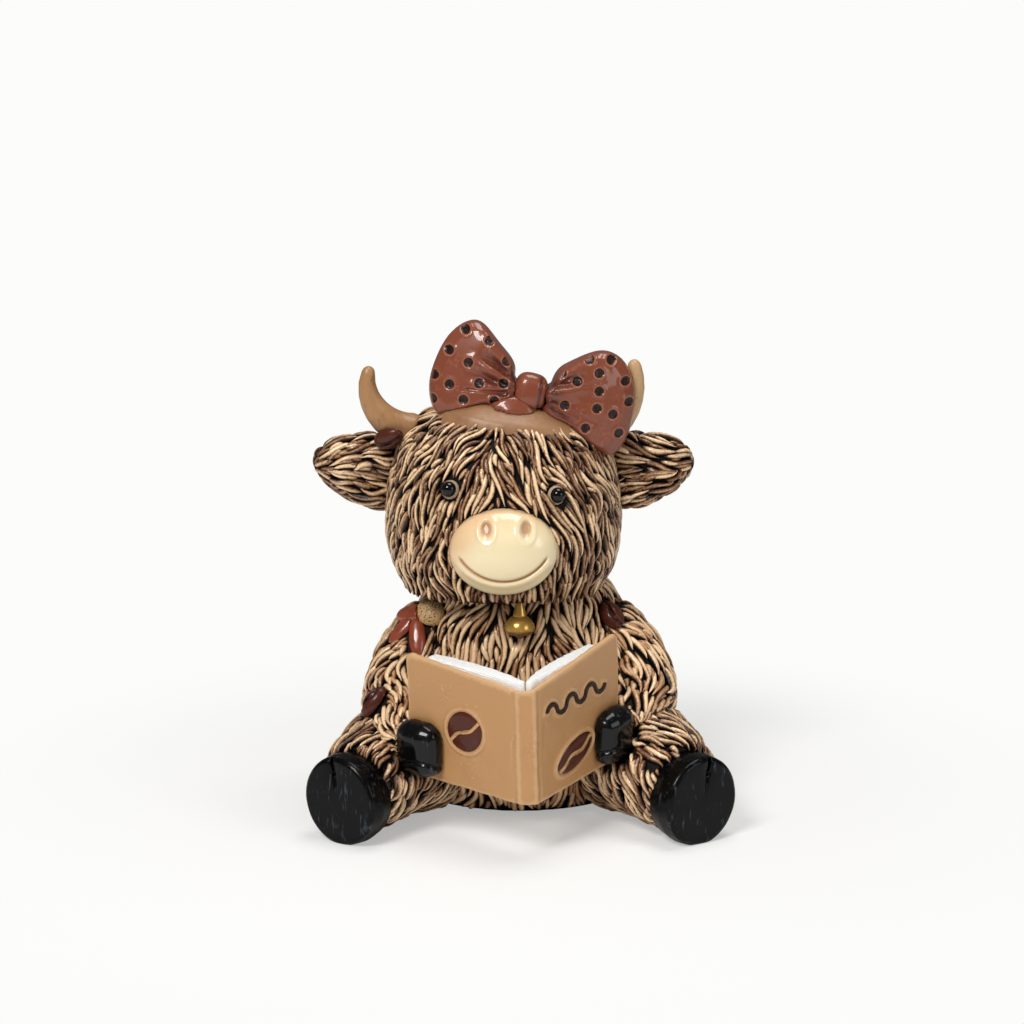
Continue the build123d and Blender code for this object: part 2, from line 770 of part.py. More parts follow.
def elbow_point(side):
    return Vector(side * ELBOW_SPREAD / 2, -ELBOW_FORWARD, ELBOW_HEIGHT)


def bulge(side, offset):
    """Offset of a limb's middle, outwards, back and up."""
    return Vector(side * offset[0], offset[1], offset[2])


def arm_form(side, grow=0.0):
    """Arm from the shoulder, down to the elbow and forward to the hoof."""
    shoulder = shoulder_point(side)
    elbow = elbow_point(side)
    edge = board_point(side, BOARD_WIDTH + HAND_OVERHANG, BOARD_THICKNESS)
    wrist = (book_place() * Pos(edge[0], edge[1], HAND_UP)).position
    upper = (shoulder + elbow) / 2 + bulge(side, UPPER_ARM_BULGE)
    fore = (elbow + wrist) / 2 + bulge(side, FOREARM_BULGE)
    diameters = [ARM_DIAMETER, ARM_DIAMETER, ARM_DIAMETER, ARM_DIAMETER * 0.94, WRIST_DIAMETER]
    return limb((shoulder, upper, elbow, fore, wrist), diameters, ARM_BANDS, (1, 0, 0), grow)


# Legs and rear hooves
FOOT_HEIGHT = SOLE_HEIGHT / 2 - HOOF_FLAT


def leg_heading(side):
    turn = math.radians(LEG_SPLAY)
    return Vector(side * math.sin(turn), -math.cos(turn), 0)


def hip_point(side):
    return Vector(side * HIP_SPREAD / 2, -HIP_FORWARD, HIP_HEIGHT)


def sole_centre(side):
    spot = hip_point(side) + leg_heading(side) * LEG_REACH
    return Vector(spot.X, spot.Y, FOOT_HEIGHT)


def leg_form(side, grow=0.0):
    """Thigh and shank in one taper from the hip to the hoof."""
    ankle = sole_centre(side) - leg_heading(side) * (HOOF_THICKNESS - ANKLE_BEDDING)
    knee = (hip_point(side) + ankle) / 2 + Vector(0, 0, KNEE_RISE)
    middle = (THIGH_DIAMETER + ANKLE_DIAMETER) / 2
    diameters = [THIGH_DIAMETER, THIGH_DIAMETER, middle, ANKLE_DIAMETER]
    route = (hip_point(side), knee, ankle)
    return limb(route, diameters, LEG_BANDS, (0, 0, 1), grow, dome_end=False)


def sole_plane(side, inset):
    """Plane across the hoof, a distance behind its sole, turned so that its top leans outwards."""
    heading = leg_heading(side)
    level = Vector(0, 0, 1).cross(heading)
    upright = Plane(sole_centre(side) - heading * inset, x_dir=level, z_dir=heading)
    return upright * Rot(Z=-side * SOLE_ROLL)


def hoof_form(side, grow=0.0):
    """Egg-shaped hoof that swells a little behind its flat sole and is eased at the sole's rim."""
    rim = 1 - 2 * SOLE_ROUNDING / SOLE_WIDTH
    stations = (
        (HOOF_THICKNESS + grow, 0.97),
        (HOOF_THICKNESS / 2, 1.03),
        (SOLE_ROUNDING, 1.00),
        (-grow, rim),
    )
    layers = []
    for inset, share in stations:
        outline = Ellipse(SOLE_WIDTH * share / 2 + grow, SOLE_HEIGHT * share / 2 + grow)
        layers.append(sole_plane(side, inset) * outline)
    return banded(layers)


def foot_hoof_piece(side):
    """Rear hoof: flat where it stands, and cleft from the top of its sole."""
    half_cleft = CLEFT_WIDTH / 2
    corners = ((0, 0), (-half_cleft, CLEFT_LENGTH), (half_cleft, CLEFT_LENGTH))
    wedge = make_face(Polyline(*corners, close=True))
    cleft = sole_plane(side, CLEFT_DEPTH) * extrude(wedge, 2 * CLEFT_DEPTH)
    return split(hoof_form(side) - cleft, Plane.XY, Keep.TOP)


# Coat decorations
def bean_piece(plane):
    """Flat-backed coffee bean with its crease along the middle of its crown."""
    bean = dome(BEAN_LENGTH, BEAN_WIDTH, BEAN_HEIGHT)
    crease = Pos(0, 0, BEAN_HEIGHT) * Box(BEAN_LENGTH, BEAN_CREASE, 2 * BEAN_CREASE_DEPTH)
    return plane * Pos(0, 0, GLUE_GAP) * (bean - crease)


def bell_place(body):
    point, normal = seat_on([body], (BELL_SHIFT, 0, BELL_UP), (0, 1, 0))
    return Pos(BELL_SHIFT, point.Y - BELL_PROUD, BELL_UP)


def bell_profile():
    """Half section of the bell: a low dome over a short upright lip."""
    radius = BELL_DIAMETER / 2
    lip = BELL_HEIGHT - radius
    crown = TangentArc((radius, lip), (0, BELL_HEIGHT), tangent=(0, 1))
    rim = Polyline((0, BELL_HEIGHT), (0, 0), (radius * 0.8, 0), (radius, lip))
    return make_face(Curve() + [crown, rim])


def bell_form(body):
    return bell_place(body) * revolve(Plane.XZ * bell_profile(), Axis.Z)


def bell_hanger_form(body):
    """Cone that the bell hangs from, narrow at its top."""
    cone = Cone(HANGER_DIAMETER / 2, HANGER_TOP_DIAMETER / 2, HANGER_HEIGHT)
    return bell_place(body) * Pos(0, 0, (BELL_HEIGHT + HANGER_HEIGHT) / 2) * cone


def clapper_form(body):
    return bell_place(body) * Pos(0, -CLAPPER_FORWARD, 0) * Sphere(CLAPPER_DIAMETER / 2)


def ribbon_patch(forms, place, size, slant=0, grow=0.0):
    """Flat-backed domed patch on the shoulder, placed across and up from the knot."""
    across, up = place
    length, width, height = size
    out = Vector(across - KNOT_BESIDE_SHOULDER, -ARM_DIAMETER / 2, up + KNOT_ABOVE_SHOULDER)
    plane = seat_plane(forms, shoulder_point(LEFT), out * -1, (1, 0, 0))
    patch = dome(length + 2 * grow, width + 2 * grow, height + grow)
    return plane * Pos(0, 0, GLUE_GAP) * Rot(Z=slant) * patch


def ribbon_pieces(forms, carriers):
    """Ribbon bow tied at the left shoulder, with a round button beside its knot."""
    knot_size = (RIBBON_KNOT, RIBBON_KNOT, RIBBON_THICKNESS)
    knot = ribbon_patch(forms, (0, 0), knot_size)
    knot_room = ribbon_patch(forms, (0, 0), knot_size, grow=GLUE_GAP)

    button_place = ((RIBBON_KNOT + BUTTON_DIAMETER) / 2 - RIBBON_OVERLAP - BUTTON_TUCK, BUTTON_RISE)
    button_size = (BUTTON_DIAMETER, BUTTON_DIAMETER, BUTTON_THICKNESS)
    button = ribbon_patch(forms, button_place, button_size)
    button_room = ribbon_patch(forms, button_place, button_size, grow=GLUE_GAP)

    loop_place = (RIBBON_OVERLAP - (RIBBON_KNOT + RIBBON_LOOP_LENGTH) / 2, RIBBON_LOOP_RISE)
    loop_size = (RIBBON_LOOP_LENGTH, RIBBON_LOOP_WIDTH, RIBBON_THICKNESS)
    loop = ribbon_patch(forms, loop_place, loop_size, RIBBON_LOOP_SLANT)
    loop_room = ribbon_patch(forms, loop_place, loop_size, RIBBON_LOOP_SLANT, GLUE_GAP)

    reach = (RIBBON_KNOT + RIBBON_TAIL_LENGTH) / 2 - RIBBON_OVERLAP
    size = (RIBBON_TAIL_LENGTH, RIBBON_TAIL_WIDTH, TAIL_THICKNESS)
    places = []
    for turn in TAIL_TURNS:
        heading = math.radians(turn)
        places.append((reach * math.cos(heading), reach * math.sin(heading)))
    front = ribbon_patch(forms, places[0], size, TAIL_TURNS[0])
    front_room = ribbon_patch(forms, places[0], size, TAIL_TURNS[0], GLUE_GAP)
    back = ribbon_patch(forms, places[1], size, TAIL_TURNS[1])

    rooms = carriers + [knot_room]
    return {
        "ribbon_knot": cut_by(knot, carriers),
        "ribbon_button": cut_by(button, rooms),
        "ribbon_loop": cut_by(loop, rooms + [button_room]),
        "ribbon_tail_front": cut_by(front, rooms + [loop_room, button_room]),
        "ribbon_tail_back": cut_by(back, rooms + [loop_room, button_room, front_room]),
    }


# Cutting and writing
def cut_by(form, carriers):
    """The form with room made for what it is glued to; only its main solid is kept."""
    for carrier in carriers:
        form = form - carrier
    solids = form.solids().sort_by(SortBy.VOLUME)
    return solids[-1]


def build():
    pieces = {}
    body = body_form()
    head = head_form()
    body_room = body_form(GLUE_GAP)
    head_room = head_form(GLUE_GAP)
    pieces["torso"] = body
    pieces["head"] = head - body_room

    pieces["muzzle"] = muzzle_piece(head, head_room)
    for side, name in ((LEFT, "left"), (RIGHT, "right")):
        pieces["eye_" + name] = eye_piece(head, side)
        pieces["eye_rim_" + name] = eye_rim_piece(head, side)
        pieces["horn_" + name] = cut_by(horn_form(side), [head_room])
        pieces["ear_" + name] = ear_piece(side, [head_room, horn_form(side, GLUE_GAP)])

    bed_room = bow_bed_form(GLUE_GAP)
    knot_room = knot_form(GLUE_GAP)
    horns_room = [horn_form(side, GLUE_GAP) for side in (LEFT, RIGHT)]
    pieces["bow_bed"] = cut_by(bow_bed_form(), [head_room] + horns_room)
    crown_room = [bed_room, head_room] + horns_room
    pieces["bow_knot"] = cut_by(knot_form(), crown_room)
    pieces["bow_loop_left"] = bow_loop_piece(LEFT_LOOP_OUTLINE, LEFT, crown_room + [knot_room])
    pieces["bow_loop_right"] = bow_loop_piece(RIGHT_LOOP_OUTLINE, RIGHT, crown_room + [knot_room])
    loops_room = [
        bow_place() * loop_form(LEFT_LOOP_OUTLINE, LEFT, GLUE_GAP),
        bow_place() * loop_form(RIGHT_LOOP_OUTLINE, RIGHT, GLUE_GAP),
    ]
    pieces["bow_flap"] = flap_piece(crown_room + [knot_room] + loops_room)

    pieces["book_cover"] = cover_piece()
    book_room = [cover_form(GLUE_GAP)]
    for side, name in ((LEFT, "left"), (RIGHT, "right")):
        pieces["page_block_" + name] = page_form(side)
        book_room.append(page_form(side, GLUE_GAP))
    pieces["cover_bean_left"] = cover_bean(
        LEFT, LEFT_COVER_BEAN_PLACE, LEFT_COVER_BEAN_SIZE, LEFT_COVER_BEAN_SLANT
    )
    pieces["cover_bean_right"] = cover_bean(
        RIGHT, RIGHT_COVER_BEAN_PLACE, RIGHT_COVER_BEAN_SIZE, RIGHT_COVER_BEAN_SLANT
    )
    pieces["cover_scroll"] = cover_scroll_piece()

    for side, name in ((LEFT, "left"), (RIGHT, "right")):
        hand_room = hand_form(side, GLUE_GAP)
        hoof_room = hoof_form(side, GLUE_GAP)
        leg_room = leg_form(side, GLUE_GAP)
        pieces["hand_hoof_" + name] = cut_by(hand_form(side), book_room)
        pieces["foot_hoof_" + name] = foot_hoof_piece(side)
        pieces["leg_" + name] = cut_by(leg_form(side), [body_room, hoof_room, hand_room] + book_room)
        arm_rooms = [body_room, head_room, leg_room, hand_room] + book_room
        pieces["arm_" + name] = cut_by(arm_form(side), arm_rooms)

    arm_left = arm_form(LEFT)
    arm_right = arm_form(RIGHT)
    across, up = HEAD_BEAN_FROM_HORN
    target = horn_root(LEFT) + Vector(across, 0, up)
    plane = seat_plane([horn_form(LEFT), ear_form(LEFT)], target, (0, 1, 0), HEAD_BEAN_HEADING)
    rooms = [head_room, horn_form(LEFT, GLUE_GAP), ear_form(LEFT, GLUE_GAP)]
    pieces["head_bean"] = cut_by(bean_piece(plane), rooms)
    target = elbow_point(LEFT) + Vector(*ARM_BEAN_FROM_ELBOW)
    plane = seat_plane([arm_left], target, ARM_BEAN_AIM, ARM_BEAN_HEADING)
    pieces["arm_bean"] = bean_piece(plane)
    across, up = SHOULDER_BEAN_FROM_SHOULDER
    target = shoulder_point(RIGHT) + Vector(across, 0, up)
    plane = seat_plane([arm_right, body], target, (0, 1, 0), SHOULDER_BEAN_HEADING)
    pieces["shoulder_bean"] = cut_by(bean_piece(plane), [body_room, head_room])

    pieces["bell"] = cut_by(bell_form(body), [body_room])
    bell_room = bell_form(body)
    pieces["bell_hanger"] = cut_by(bell_hanger_form(body), [body_room, head_room, bell_room])
    pieces["bell_clapper"] = cut_by(clapper_form(body), [body_room, bell_room])

    pieces.update(ribbon_pieces([arm_left, body], [body_room, head_room, arm_form(LEFT, GLUE_GAP)]))
    return pieces


def write_parts(pieces):
    os.makedirs("parts", exist_ok=True)
    for name, piece in pieces.items():
        export_step(piece, os.path.join("parts", name + ".step"))


write_parts(build())
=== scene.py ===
import math

import bpy
import numpy as np
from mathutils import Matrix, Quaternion, Vector, noise
from mathutils.bvhtree import BVHTree


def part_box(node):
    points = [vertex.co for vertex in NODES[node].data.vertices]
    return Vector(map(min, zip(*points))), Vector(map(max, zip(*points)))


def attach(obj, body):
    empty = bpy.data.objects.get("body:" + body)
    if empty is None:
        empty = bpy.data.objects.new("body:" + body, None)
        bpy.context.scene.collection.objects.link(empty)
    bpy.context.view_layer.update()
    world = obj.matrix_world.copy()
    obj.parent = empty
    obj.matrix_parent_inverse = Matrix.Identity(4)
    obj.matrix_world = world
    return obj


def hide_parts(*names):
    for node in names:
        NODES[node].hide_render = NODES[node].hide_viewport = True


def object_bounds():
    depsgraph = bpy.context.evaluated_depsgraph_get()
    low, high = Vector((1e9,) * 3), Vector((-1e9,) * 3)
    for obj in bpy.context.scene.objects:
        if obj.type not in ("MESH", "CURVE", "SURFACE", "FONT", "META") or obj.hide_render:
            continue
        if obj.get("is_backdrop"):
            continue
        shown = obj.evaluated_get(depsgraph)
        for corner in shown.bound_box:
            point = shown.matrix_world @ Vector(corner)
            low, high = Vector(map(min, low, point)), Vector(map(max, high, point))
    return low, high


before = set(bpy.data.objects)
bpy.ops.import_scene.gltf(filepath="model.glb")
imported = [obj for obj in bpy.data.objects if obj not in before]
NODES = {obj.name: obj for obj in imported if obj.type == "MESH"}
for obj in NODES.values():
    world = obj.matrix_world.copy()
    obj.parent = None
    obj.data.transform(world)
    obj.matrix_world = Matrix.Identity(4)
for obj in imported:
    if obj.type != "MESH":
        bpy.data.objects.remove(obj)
CAD_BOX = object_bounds()

bl_info = {
    "name": "Reading cow figurine",
    "version": (1, 0, 0),
    "blender": (4, 5, 0),
    "location": "3D View > Sidebar > Figurine",
    "description": "Dresses the seated cow: coat, face, bow, book, hooves, trims and stage",
    "category": "Object",
}

MM = 0.001
CAMERA_ELEVATION = math.radians(11)
CAMERA_DISTANCE = 560 * MM
CAMERA_TARGET = (-2 * MM, 0, 70.4 * MM)
CAMERA_LENS = 82.02
SENSOR_WIDTH = 36.0


def colour(red, green, blue):
    """Linear colour of a painted finish, from its red, green and blue shares of 255 on screen."""
    shares = []
    for level in (red, green, blue):
        share = level / 255
        shares.append(share / 12.92 if share <= 0.04045 else ((share + 0.055) / 1.055) ** 2.4)
    return (*shares, 1.0)


# Fixed colours that the finishes mix in
WHITE = (1.0, 1.0, 1.0, 1.0)
BACKDROP = colour(252, 252, 250)
HEAD_WARMTH = colour(182, 152, 132)
BODY_WARMTH = colour(204, 176, 156)
PIT_BROWN = colour(160, 96, 56)
RIM_BROWN = colour(128, 92, 66)
CLOTH_DARK = colour(84, 36, 26)
CLOTH_LIGHT = colour(172, 98, 66)
DOT_RING = colour(190, 120, 90)
BED_LIGHT = colour(196, 156, 114)
BED_DARK = colour(110, 62, 40)
HORN_STREAK = colour(122, 84, 52)
HORN_BLOTCH = colour(186, 146, 100)
HORN_LIGHT = colour(206, 172, 128)
HORN_SPECK = colour(92, 62, 40)
HORN_ROOT = colour(84, 52, 34)
COVER_DARK = colour(178, 128, 80)
COVER_LIGHT = colour(226, 188, 140)
# Lighter paint on the cover's edges: edge wear and painted highlight
COVER_EDGE_HIGHLIGHT = colour(238, 206, 164)
PAGE_GROOVE = colour(206, 200, 190)
PAGE_SHADE = colour(236, 232, 224)
BEAN_LIGHT = colour(98, 50, 34)
CREASE_LIGHT = colour(206, 162, 112)
CREASE_DARK = colour(26, 14, 12)
# Painted highlight of the hooves' brushed streaks
HOOF_STREAK_HIGHLIGHT = colour(62, 68, 76)
GOLD_LIGHT = colour(226, 196, 110)
# Painted shade of the bell's underside
GOLD_UNDERSIDE_SHADE = colour(96, 60, 30)
RIBBON_DARK = colour(78, 34, 22)
RIBBON_CREASE = colour(50, 22, 16)
BUTTON_PIT = colour(108, 78, 48)


# Shader arithmetic
def arithmetic(operation):
    """Method that joins values with a math node."""

    def combine(self, *others):
        return self.graph.node("ShaderNodeMath", {"operation": operation}, [self, *others])

    return combine


class Value:
    """A socket that Python arithmetic works on."""

    def __init__(self, graph, socket):
        self.graph = graph
        self.socket = socket

    __add__ = __radd__ = arithmetic("ADD")
    __sub__ = arithmetic("SUBTRACT")
    __mul__ = __rmul__ = arithmetic("MULTIPLY")
    __truediv__ = arithmetic("DIVIDE")
    least = arithmetic("MINIMUM")
    root = arithmetic("SQRT")
    magnitude = arithmetic("ABSOLUTE")
    fraction = arithmetic("FRACT")

    def __rsub__(self, other):
        return self * -1 + other

    def step(self, low, high):
        """Smooth rise from 0 at low to 1 at high."""
        settings = {"interpolation_type": "SMOOTHSTEP"}
        inputs = {"Value": self, "From Min": low, "From Max": high}
        return self.graph.node("ShaderNodeMapRange", settings, inputs)


class Graph:
    """The shader nodes of a material or of the world."""

    def __init__(self, owner):
        owner.use_nodes = True
        self.tree = owner.node_tree

    def set_input(self, socket, source):
        if isinstance(source, Value):
            self.tree.links.new(source.socket, socket)
        else:
            socket.default_value = source

    def node(self, kind, settings=None, inputs=(), output=0):
        """One output of a new node, given its settings and the values or links of its inputs."""
        node = self.tree.nodes.new(kind)
        for key, setting in (settings or {}).items():
            setattr(node, key, setting)
        pairs = inputs.items() if isinstance(inputs, dict) else enumerate(inputs)
        for key, source in pairs:
            self.set_input(node.inputs[key], source)
        return Value(self, node.outputs[output])

    def seen_by_camera(self):
        return self.node("ShaderNodeLightPath", output="Is Camera Ray")

    def mix_output(self, output, share, first, second):
        """Feeds the output node with a shader that is there already and a second one, mixed."""
        first = Value(self, self.tree.nodes[first].outputs[0])
        mixed = self.node("ShaderNodeMixShader", {}, [share, first, second])
        self.set_input(self.tree.nodes[output].inputs[0], mixed)


class Finish(Graph):
    """One material and the ways to add to its nodes."""

    def __init__(self, name):
        self.material = bpy.data.materials.new(name)
        super().__init__(self.material)

    def surface(self, **levels):
        inputs = self.tree.nodes["Principled BSDF"].inputs
        for key, source in levels.items():
            self.set_input(inputs[key.replace("_", " ")], source)

    def place(self):
        return self.node("ShaderNodeTexCoord", output="Object")

    def moved(self, centre=(0, 0, 0), turn=(0, 0, 0), scale=(1, 1, 1)):
        """Object coordinates seen from a centre, turned and scaled, in metres."""
        spot = self.node("ShaderNodeVectorMath", {"operation": "SUBTRACT"}, [self.place(), centre])
        settings = {"rotation_type": "EULER_XYZ"}
        spot = self.node("ShaderNodeVectorRotate", settings, {"Vector": spot, "Rotation": turn})
        return self.node("ShaderNodeVectorMath", {"operation": "MULTIPLY"}, [spot, scale])

    def parts(self, vector):
        split = self.node("ShaderNodeSeparateXYZ", {}, [vector])
        return [Value(self, socket) for socket in split.socket.node.outputs]

    def attribute(self, name):
        return self.node("ShaderNodeAttribute", {"attribute_name": name}, output="Fac")

    def noise(self, size, detail, where=None):
        """Noise from 0 to 1 whose lumps are about as large as the size in millimetres."""
        inputs = {"Vector": where or self.place(), "Scale": 1 / (size * MM), "Detail": detail}
        return self.node("ShaderNodeTexNoise", {}, inputs, "Fac")

    def cells(self, size):
        """Distance from scattered places, as a share of the size in millimetres between them."""
        inputs = {"Vector": self.place(), "Scale": 1 / (size * MM)}
        return self.node("ShaderNodeTexVoronoi", {}, inputs, "Distance")

    def mix(self, first, second, share, blend="MIX"):
        settings = {"data_type": "RGBA", "blend_type": blend}
        return self.node("ShaderNodeMix", settings, {"Factor": share, 6: first, 7: second}, 2)

    def bump(self, height, depth):
        """Bump whose height runs from 0 to 1 over a depth in millimetres."""
        inputs = {"Height": height, "Distance": depth * MM, "Strength": 1.0}
        self.surface(Normal=self.node("ShaderNodeBump", {}, inputs))


# Pieces
def deselect():
    bpy.ops.object.select_all(action="DESELECT")


def pick(piece):
    deselect()
    piece.select_set(True)
    bpy.context.view_layer.objects.active = piece


def finish_piece(piece, name, nodes, finish):
    """Names a piece, gives it its finish, hangs it under the root and hides the nodes that it
    replaces.
    """
    piece.name = name
    piece.data.name = name
    piece.data.materials.clear()
    piece.data.materials.append(finish.material)
    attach(piece, "root")
    if nodes:
        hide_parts(*nodes)


def apply_all(piece):
    pick(piece)
    for modifier in list(piece.modifiers):
        bpy.ops.object.modifier_apply(modifier=modifier.name)


def link(piece):
    bpy.context.scene.collection.objects.link(piece)
    return piece


def soften(piece, rounds):
    smooth = piece.modifiers.new("Soften", "SMOOTH")
    smooth.factor = 0.5
    smooth.iterations = rounds
    apply_all(piece)


def smooth_copy(node, voxel, rounds):
    """Copy of a solid with its facets melted into one smooth skin."""
    piece = link(bpy.data.objects.new(node + "_skin", NODES[node].data.copy()))
    pick(piece)
    bpy.ops.object.mode_set(mode="EDIT")
    bpy.ops.mesh.select_all(action="SELECT")
    bpy.ops.mesh.remove_doubles(threshold=MM / 1000)
    bpy.ops.object.mode_set(mode="OBJECT")
    remesh = piece.modifiers.new("Skin", "REMESH")
    remesh.mode = "VOXEL"
    remesh.voxel_size = voxel * MM
    soften(piece, rounds)
    bpy.ops.object.shade_smooth()
    return piece


def points_of(piece):
    """Vertex places in millimetres."""
    places = np.empty(len(piece.data.vertices) * 3)
    piece.data.vertices.foreach_get("co", places)
    return places.reshape(-1, 3) / MM


def normals_of(piece):
    normals = np.empty(len(piece.data.vertices) * 3)
    piece.data.vertices.foreach_get("normal", normals)
    return normals.reshape(-1, 3)


def place_points(piece, places):
    """Moves the vertices to places in millimetres."""
    piece.data.vertices.foreach_set("co", (places * MM).ravel())
    piece.data.update()


def move_out(piece, rise):
    """Moves the vertices along their normals by one rise, or each by its own, in millimetres."""
    place_points(piece, points_of(piece) + normals_of(piece) * np.reshape(rise, (-1, 1)))


def store_values(mesh, name, values):
    """Keeps one number for each vertex, which a finish reads by its name."""
    mesh.attributes.new(name, "FLOAT", "POINT").data.foreach_set("value", values)


def lumps(places, size, seed):
    """Smooth random numbers between about -1 and 1 at places in millimetres."""
    shift = Vector((seed * 7.3, seed * 3.1, seed * 5.7))
    return np.array([noise.noise(Vector(place) / size + shift) for place in places])


def dent(piece, height, size, seed):
    """Soft unevenness of a hand-made surface."""
    move_out(piece, height * lumps(points_of(piece), size, seed))


def hump(distance, width):
    """Bell-shaped share, 1 on the line and near 0 at twice the width."""
    return np.exp(-((distance / width) ** 2))


def rise_between(values, low, high):
    share = np.clip((values - low) / (high - low), 0, 1)
    return share * share * (3 - 2 * share)


def centre_of(node):
    low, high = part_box(node)
    return (Vector(low) + Vector(high)) / 2 / MM


def dress(node, name, slot, finish, voxel, rounds, shape=None, *details):
    """Finished piece over one solid: its smooth copy, changed by a shaping function."""
    piece = smooth_copy(node, voxel, rounds)
    if shape:
        shape(piece, *details)
    finish_piece(piece, name, [node], finish)


TREES = {}


def solid_tree(node):
    """Search tree of a CAD solid, in millimetres."""
    if node not in TREES:
        places = [Vector(place) for place in points_of(NODES[node])]
        faces = [tuple(face.vertices) for face in NODES[node].data.polygons]
        TREES[node] = BVHTree.FromPolygons(places, faces)
    return TREES[node]


def distances_to(node, places):
    """Distance of each place to a CAD solid, in millimetres."""
    tree = solid_tree(node)
    return np.array([tree.find_nearest(Vector(place))[3] for place in places])


# Settings
def size_setting(name, description, default):
    about = {"name": name, "description": description}
    return bpy.props.FloatProperty(**about, default=default, subtype="DISTANCE")


def colour_setting(name, description, *levels):
    about = {"name": name, "description": description, "size": 4, "min": 0, "max": 1}
    return bpy.props.FloatVectorProperty(**about, default=colour(*levels), subtype="COLOR")


class CoatSettings(bpy.types.PropertyGroup):
    face_strand: size_setting("Face strand width", "Width of a strand on the head", 1.7 * MM)
    body_strand: size_setting("Body strand width", "Width of a strand on body and limbs", 1.85 * MM)
    crest: colour_setting("Crest", "Dry-brushed crest of a strand", 248, 211, 166)
    flank: colour_setting("Flank", "Side of a strand", 98, 66, 43)
    # The dark wash, and also painted shade between the strands and at their roots
    groove: colour_setting("Groove", "Dark wash between the strands", 9, 6, 5)


class FaceSettings(bpy.types.PropertyGroup):
    muzzle: colour_setting("Muzzle", "Cream of the muzzle", 240, 222, 180)
    blush: colour_setting("Blush", "Peach shading of the muzzle", 226, 172, 122)
    eye: colour_setting("Eye", "Black of the eyes", 5, 5, 5)
    rim: colour_setting("Rim", "Pale rim round an eye", 176, 150, 124)


class BowSettings(bpy.types.PropertyGroup):
    cloth: colour_setting("Bow", "Red-brown of the bow", 126, 66, 44)
    dot: colour_setting("Dot", "Dark dots of the bow", 24, 14, 12)
    dot_size: size_setting("Dot size", "Diameter of a dot", 2.4 * MM)
    bed: colour_setting("Bed", "Smooth tan bed under the bow", 154, 113, 77)
    horn: colour_setting("Horn", "Tan-brown of the horns", 166, 122, 78)


class BookSettings(bpy.types.PropertyGroup):
    cover: colour_setting("Cover", "Tan of the cover", 188, 140, 90)
    pages: colour_setting("Pages", "White of the pages", 252, 252, 250)
    relief: colour_setting("Relief", "Dark brown of the raised decoration", 40, 20, 13)
    bean: colour_setting("Bean", "Brown of the beans", 76, 34, 22)


class TrimSettings(bpy.types.PropertyGroup):
    hoof: colour_setting("Hoof", "Black of the hooves", 5, 5, 6)
    gold: colour_setting("Gold", "Gold paint of the bell", 212, 166, 84)
    ribbon: colour_setting("Ribbon", "Red-brown of the shoulder ribbon", 142, 64, 38)
    button: colour_setting("Button", "Beige of the button", 190, 154, 104)


class StageSettings(bpy.types.PropertyGroup):
    floor: colour_setting("Floor", "Pale floor and backdrop", 244, 243, 241)
    floor_size: size_setting("Floor size", "Side of the floor", 4.0)


# Strands of the coat, in millimetres and in shares of a strand's half width
# Across and up of each corner of a strand's section, and how near it is to the crest
STRAND_SECTION = (
    (-1.0, -0.9), (-0.9, 0.0), (-0.55, 0.66), (0.0, 0.94), (0.55, 0.66), (0.9, 0.0), (1.0, -0.9),
)
STRAND_CREST = (0.0, 0.2, 0.74, 1.0, 0.74, 0.2, 0.0)
# Width and lift of each ring, from root to tip
STRAND_WIDTHS = (0.45, 0.76, 0.95, 1.00, 1.00, 0.96, 0.87, 0.72, 0.46, 0.10)
STRAND_LIFTS = (-0.45, -0.08, 0.18, 0.32, 0.42, 0.50, 0.56, 0.60, 0.58, 0.40)
STRAND_STEP = 0.85
STRAND_MIDDLE = 0.5
SHORTEST_STRAND = 4
SWAY = 0.9
# Each pass: least steps of a strand, distance to its neighbours in widths, and lift
STRAND_PASSES = ((9, 0.52, 0.0), (6, 0.52, 0.0), (4, 0.46, -0.05), (4, 0.3, -0.42))
TRIES = 12
LENGTH_SPREAD = (0.7, 1.35)
BEND_SPREAD = 0.2
WIDTH_SPREAD = (0.78, 1.18)
LIFT_SPREAD = (-0.12, 0.2)
TIP_OVERLAP = 4
FLOOR_GAP = 0.05
LOWEST_TIP = 1.5
LOWEST_JAW_TIP = 52.4
LOWEST_CHIN_TIP = 53.4
CHIN_HALF_WIDTH = 8
# The head's strands hang free where its surface faces down more than this
HANG_NORMAL = -0.62
SEARCH_REACH = 12.0
MOST_CROSSINGS = 12
LOOK_ALONG = Vector((0.31, 0.42, 0.85)).normalized()
SKIP = 1e-3
TINY = 1e-4


class Carrier:
    """The surface that strands lie on, in millimetres."""

    def __init__(self, piece):
        places = points_of(piece)
        faces = [tuple(face.vertices) for face in piece.data.polygons]
        self.tree = BVHTree.FromPolygons([Vector(place) for place in places], faces)
        self.corners = places[np.array([face[:3] for face in faces])]
        first, second, third = (self.corners[:, corner] for corner in range(3))
        self.areas = np.linalg.norm(np.cross(second - first, third - first), axis=1)

    def scatter(self, count, dice):
        """Random places spread evenly over the surface."""
        chances = self.areas / self.areas.sum()
        for index in dice.choice(len(self.areas), size=count, p=chances):
            along, across = dice.random(2)
            first, second, third = self.corners[index]
            yield Vector(first + along * (second - first) + across * (third - first))


class Combed:
    """Places that strands already run through, so that the next ones lie beside them."""

    def __init__(self, reach):
        self.reach = reach
        self.gap = reach
        self.cells = {}

    def cell(self, place, shift=(0, 0, 0)):
        return tuple(math.floor(place[axis] / self.reach) + shift[axis] for axis in range(3))

    def crowded(self, place):
        for number in range(27):
            shift = (number % 3 - 1, number // 3 % 3 - 1, number // 9 - 1)
            for other in self.cells.get(self.cell(place, shift), ()):
                if (place - other).length < self.gap:
                    return True
        return False

    def add(self, path):
        for spot, _, _ in path:
            self.cells.setdefault(self.cell(spot), []).append(spot)


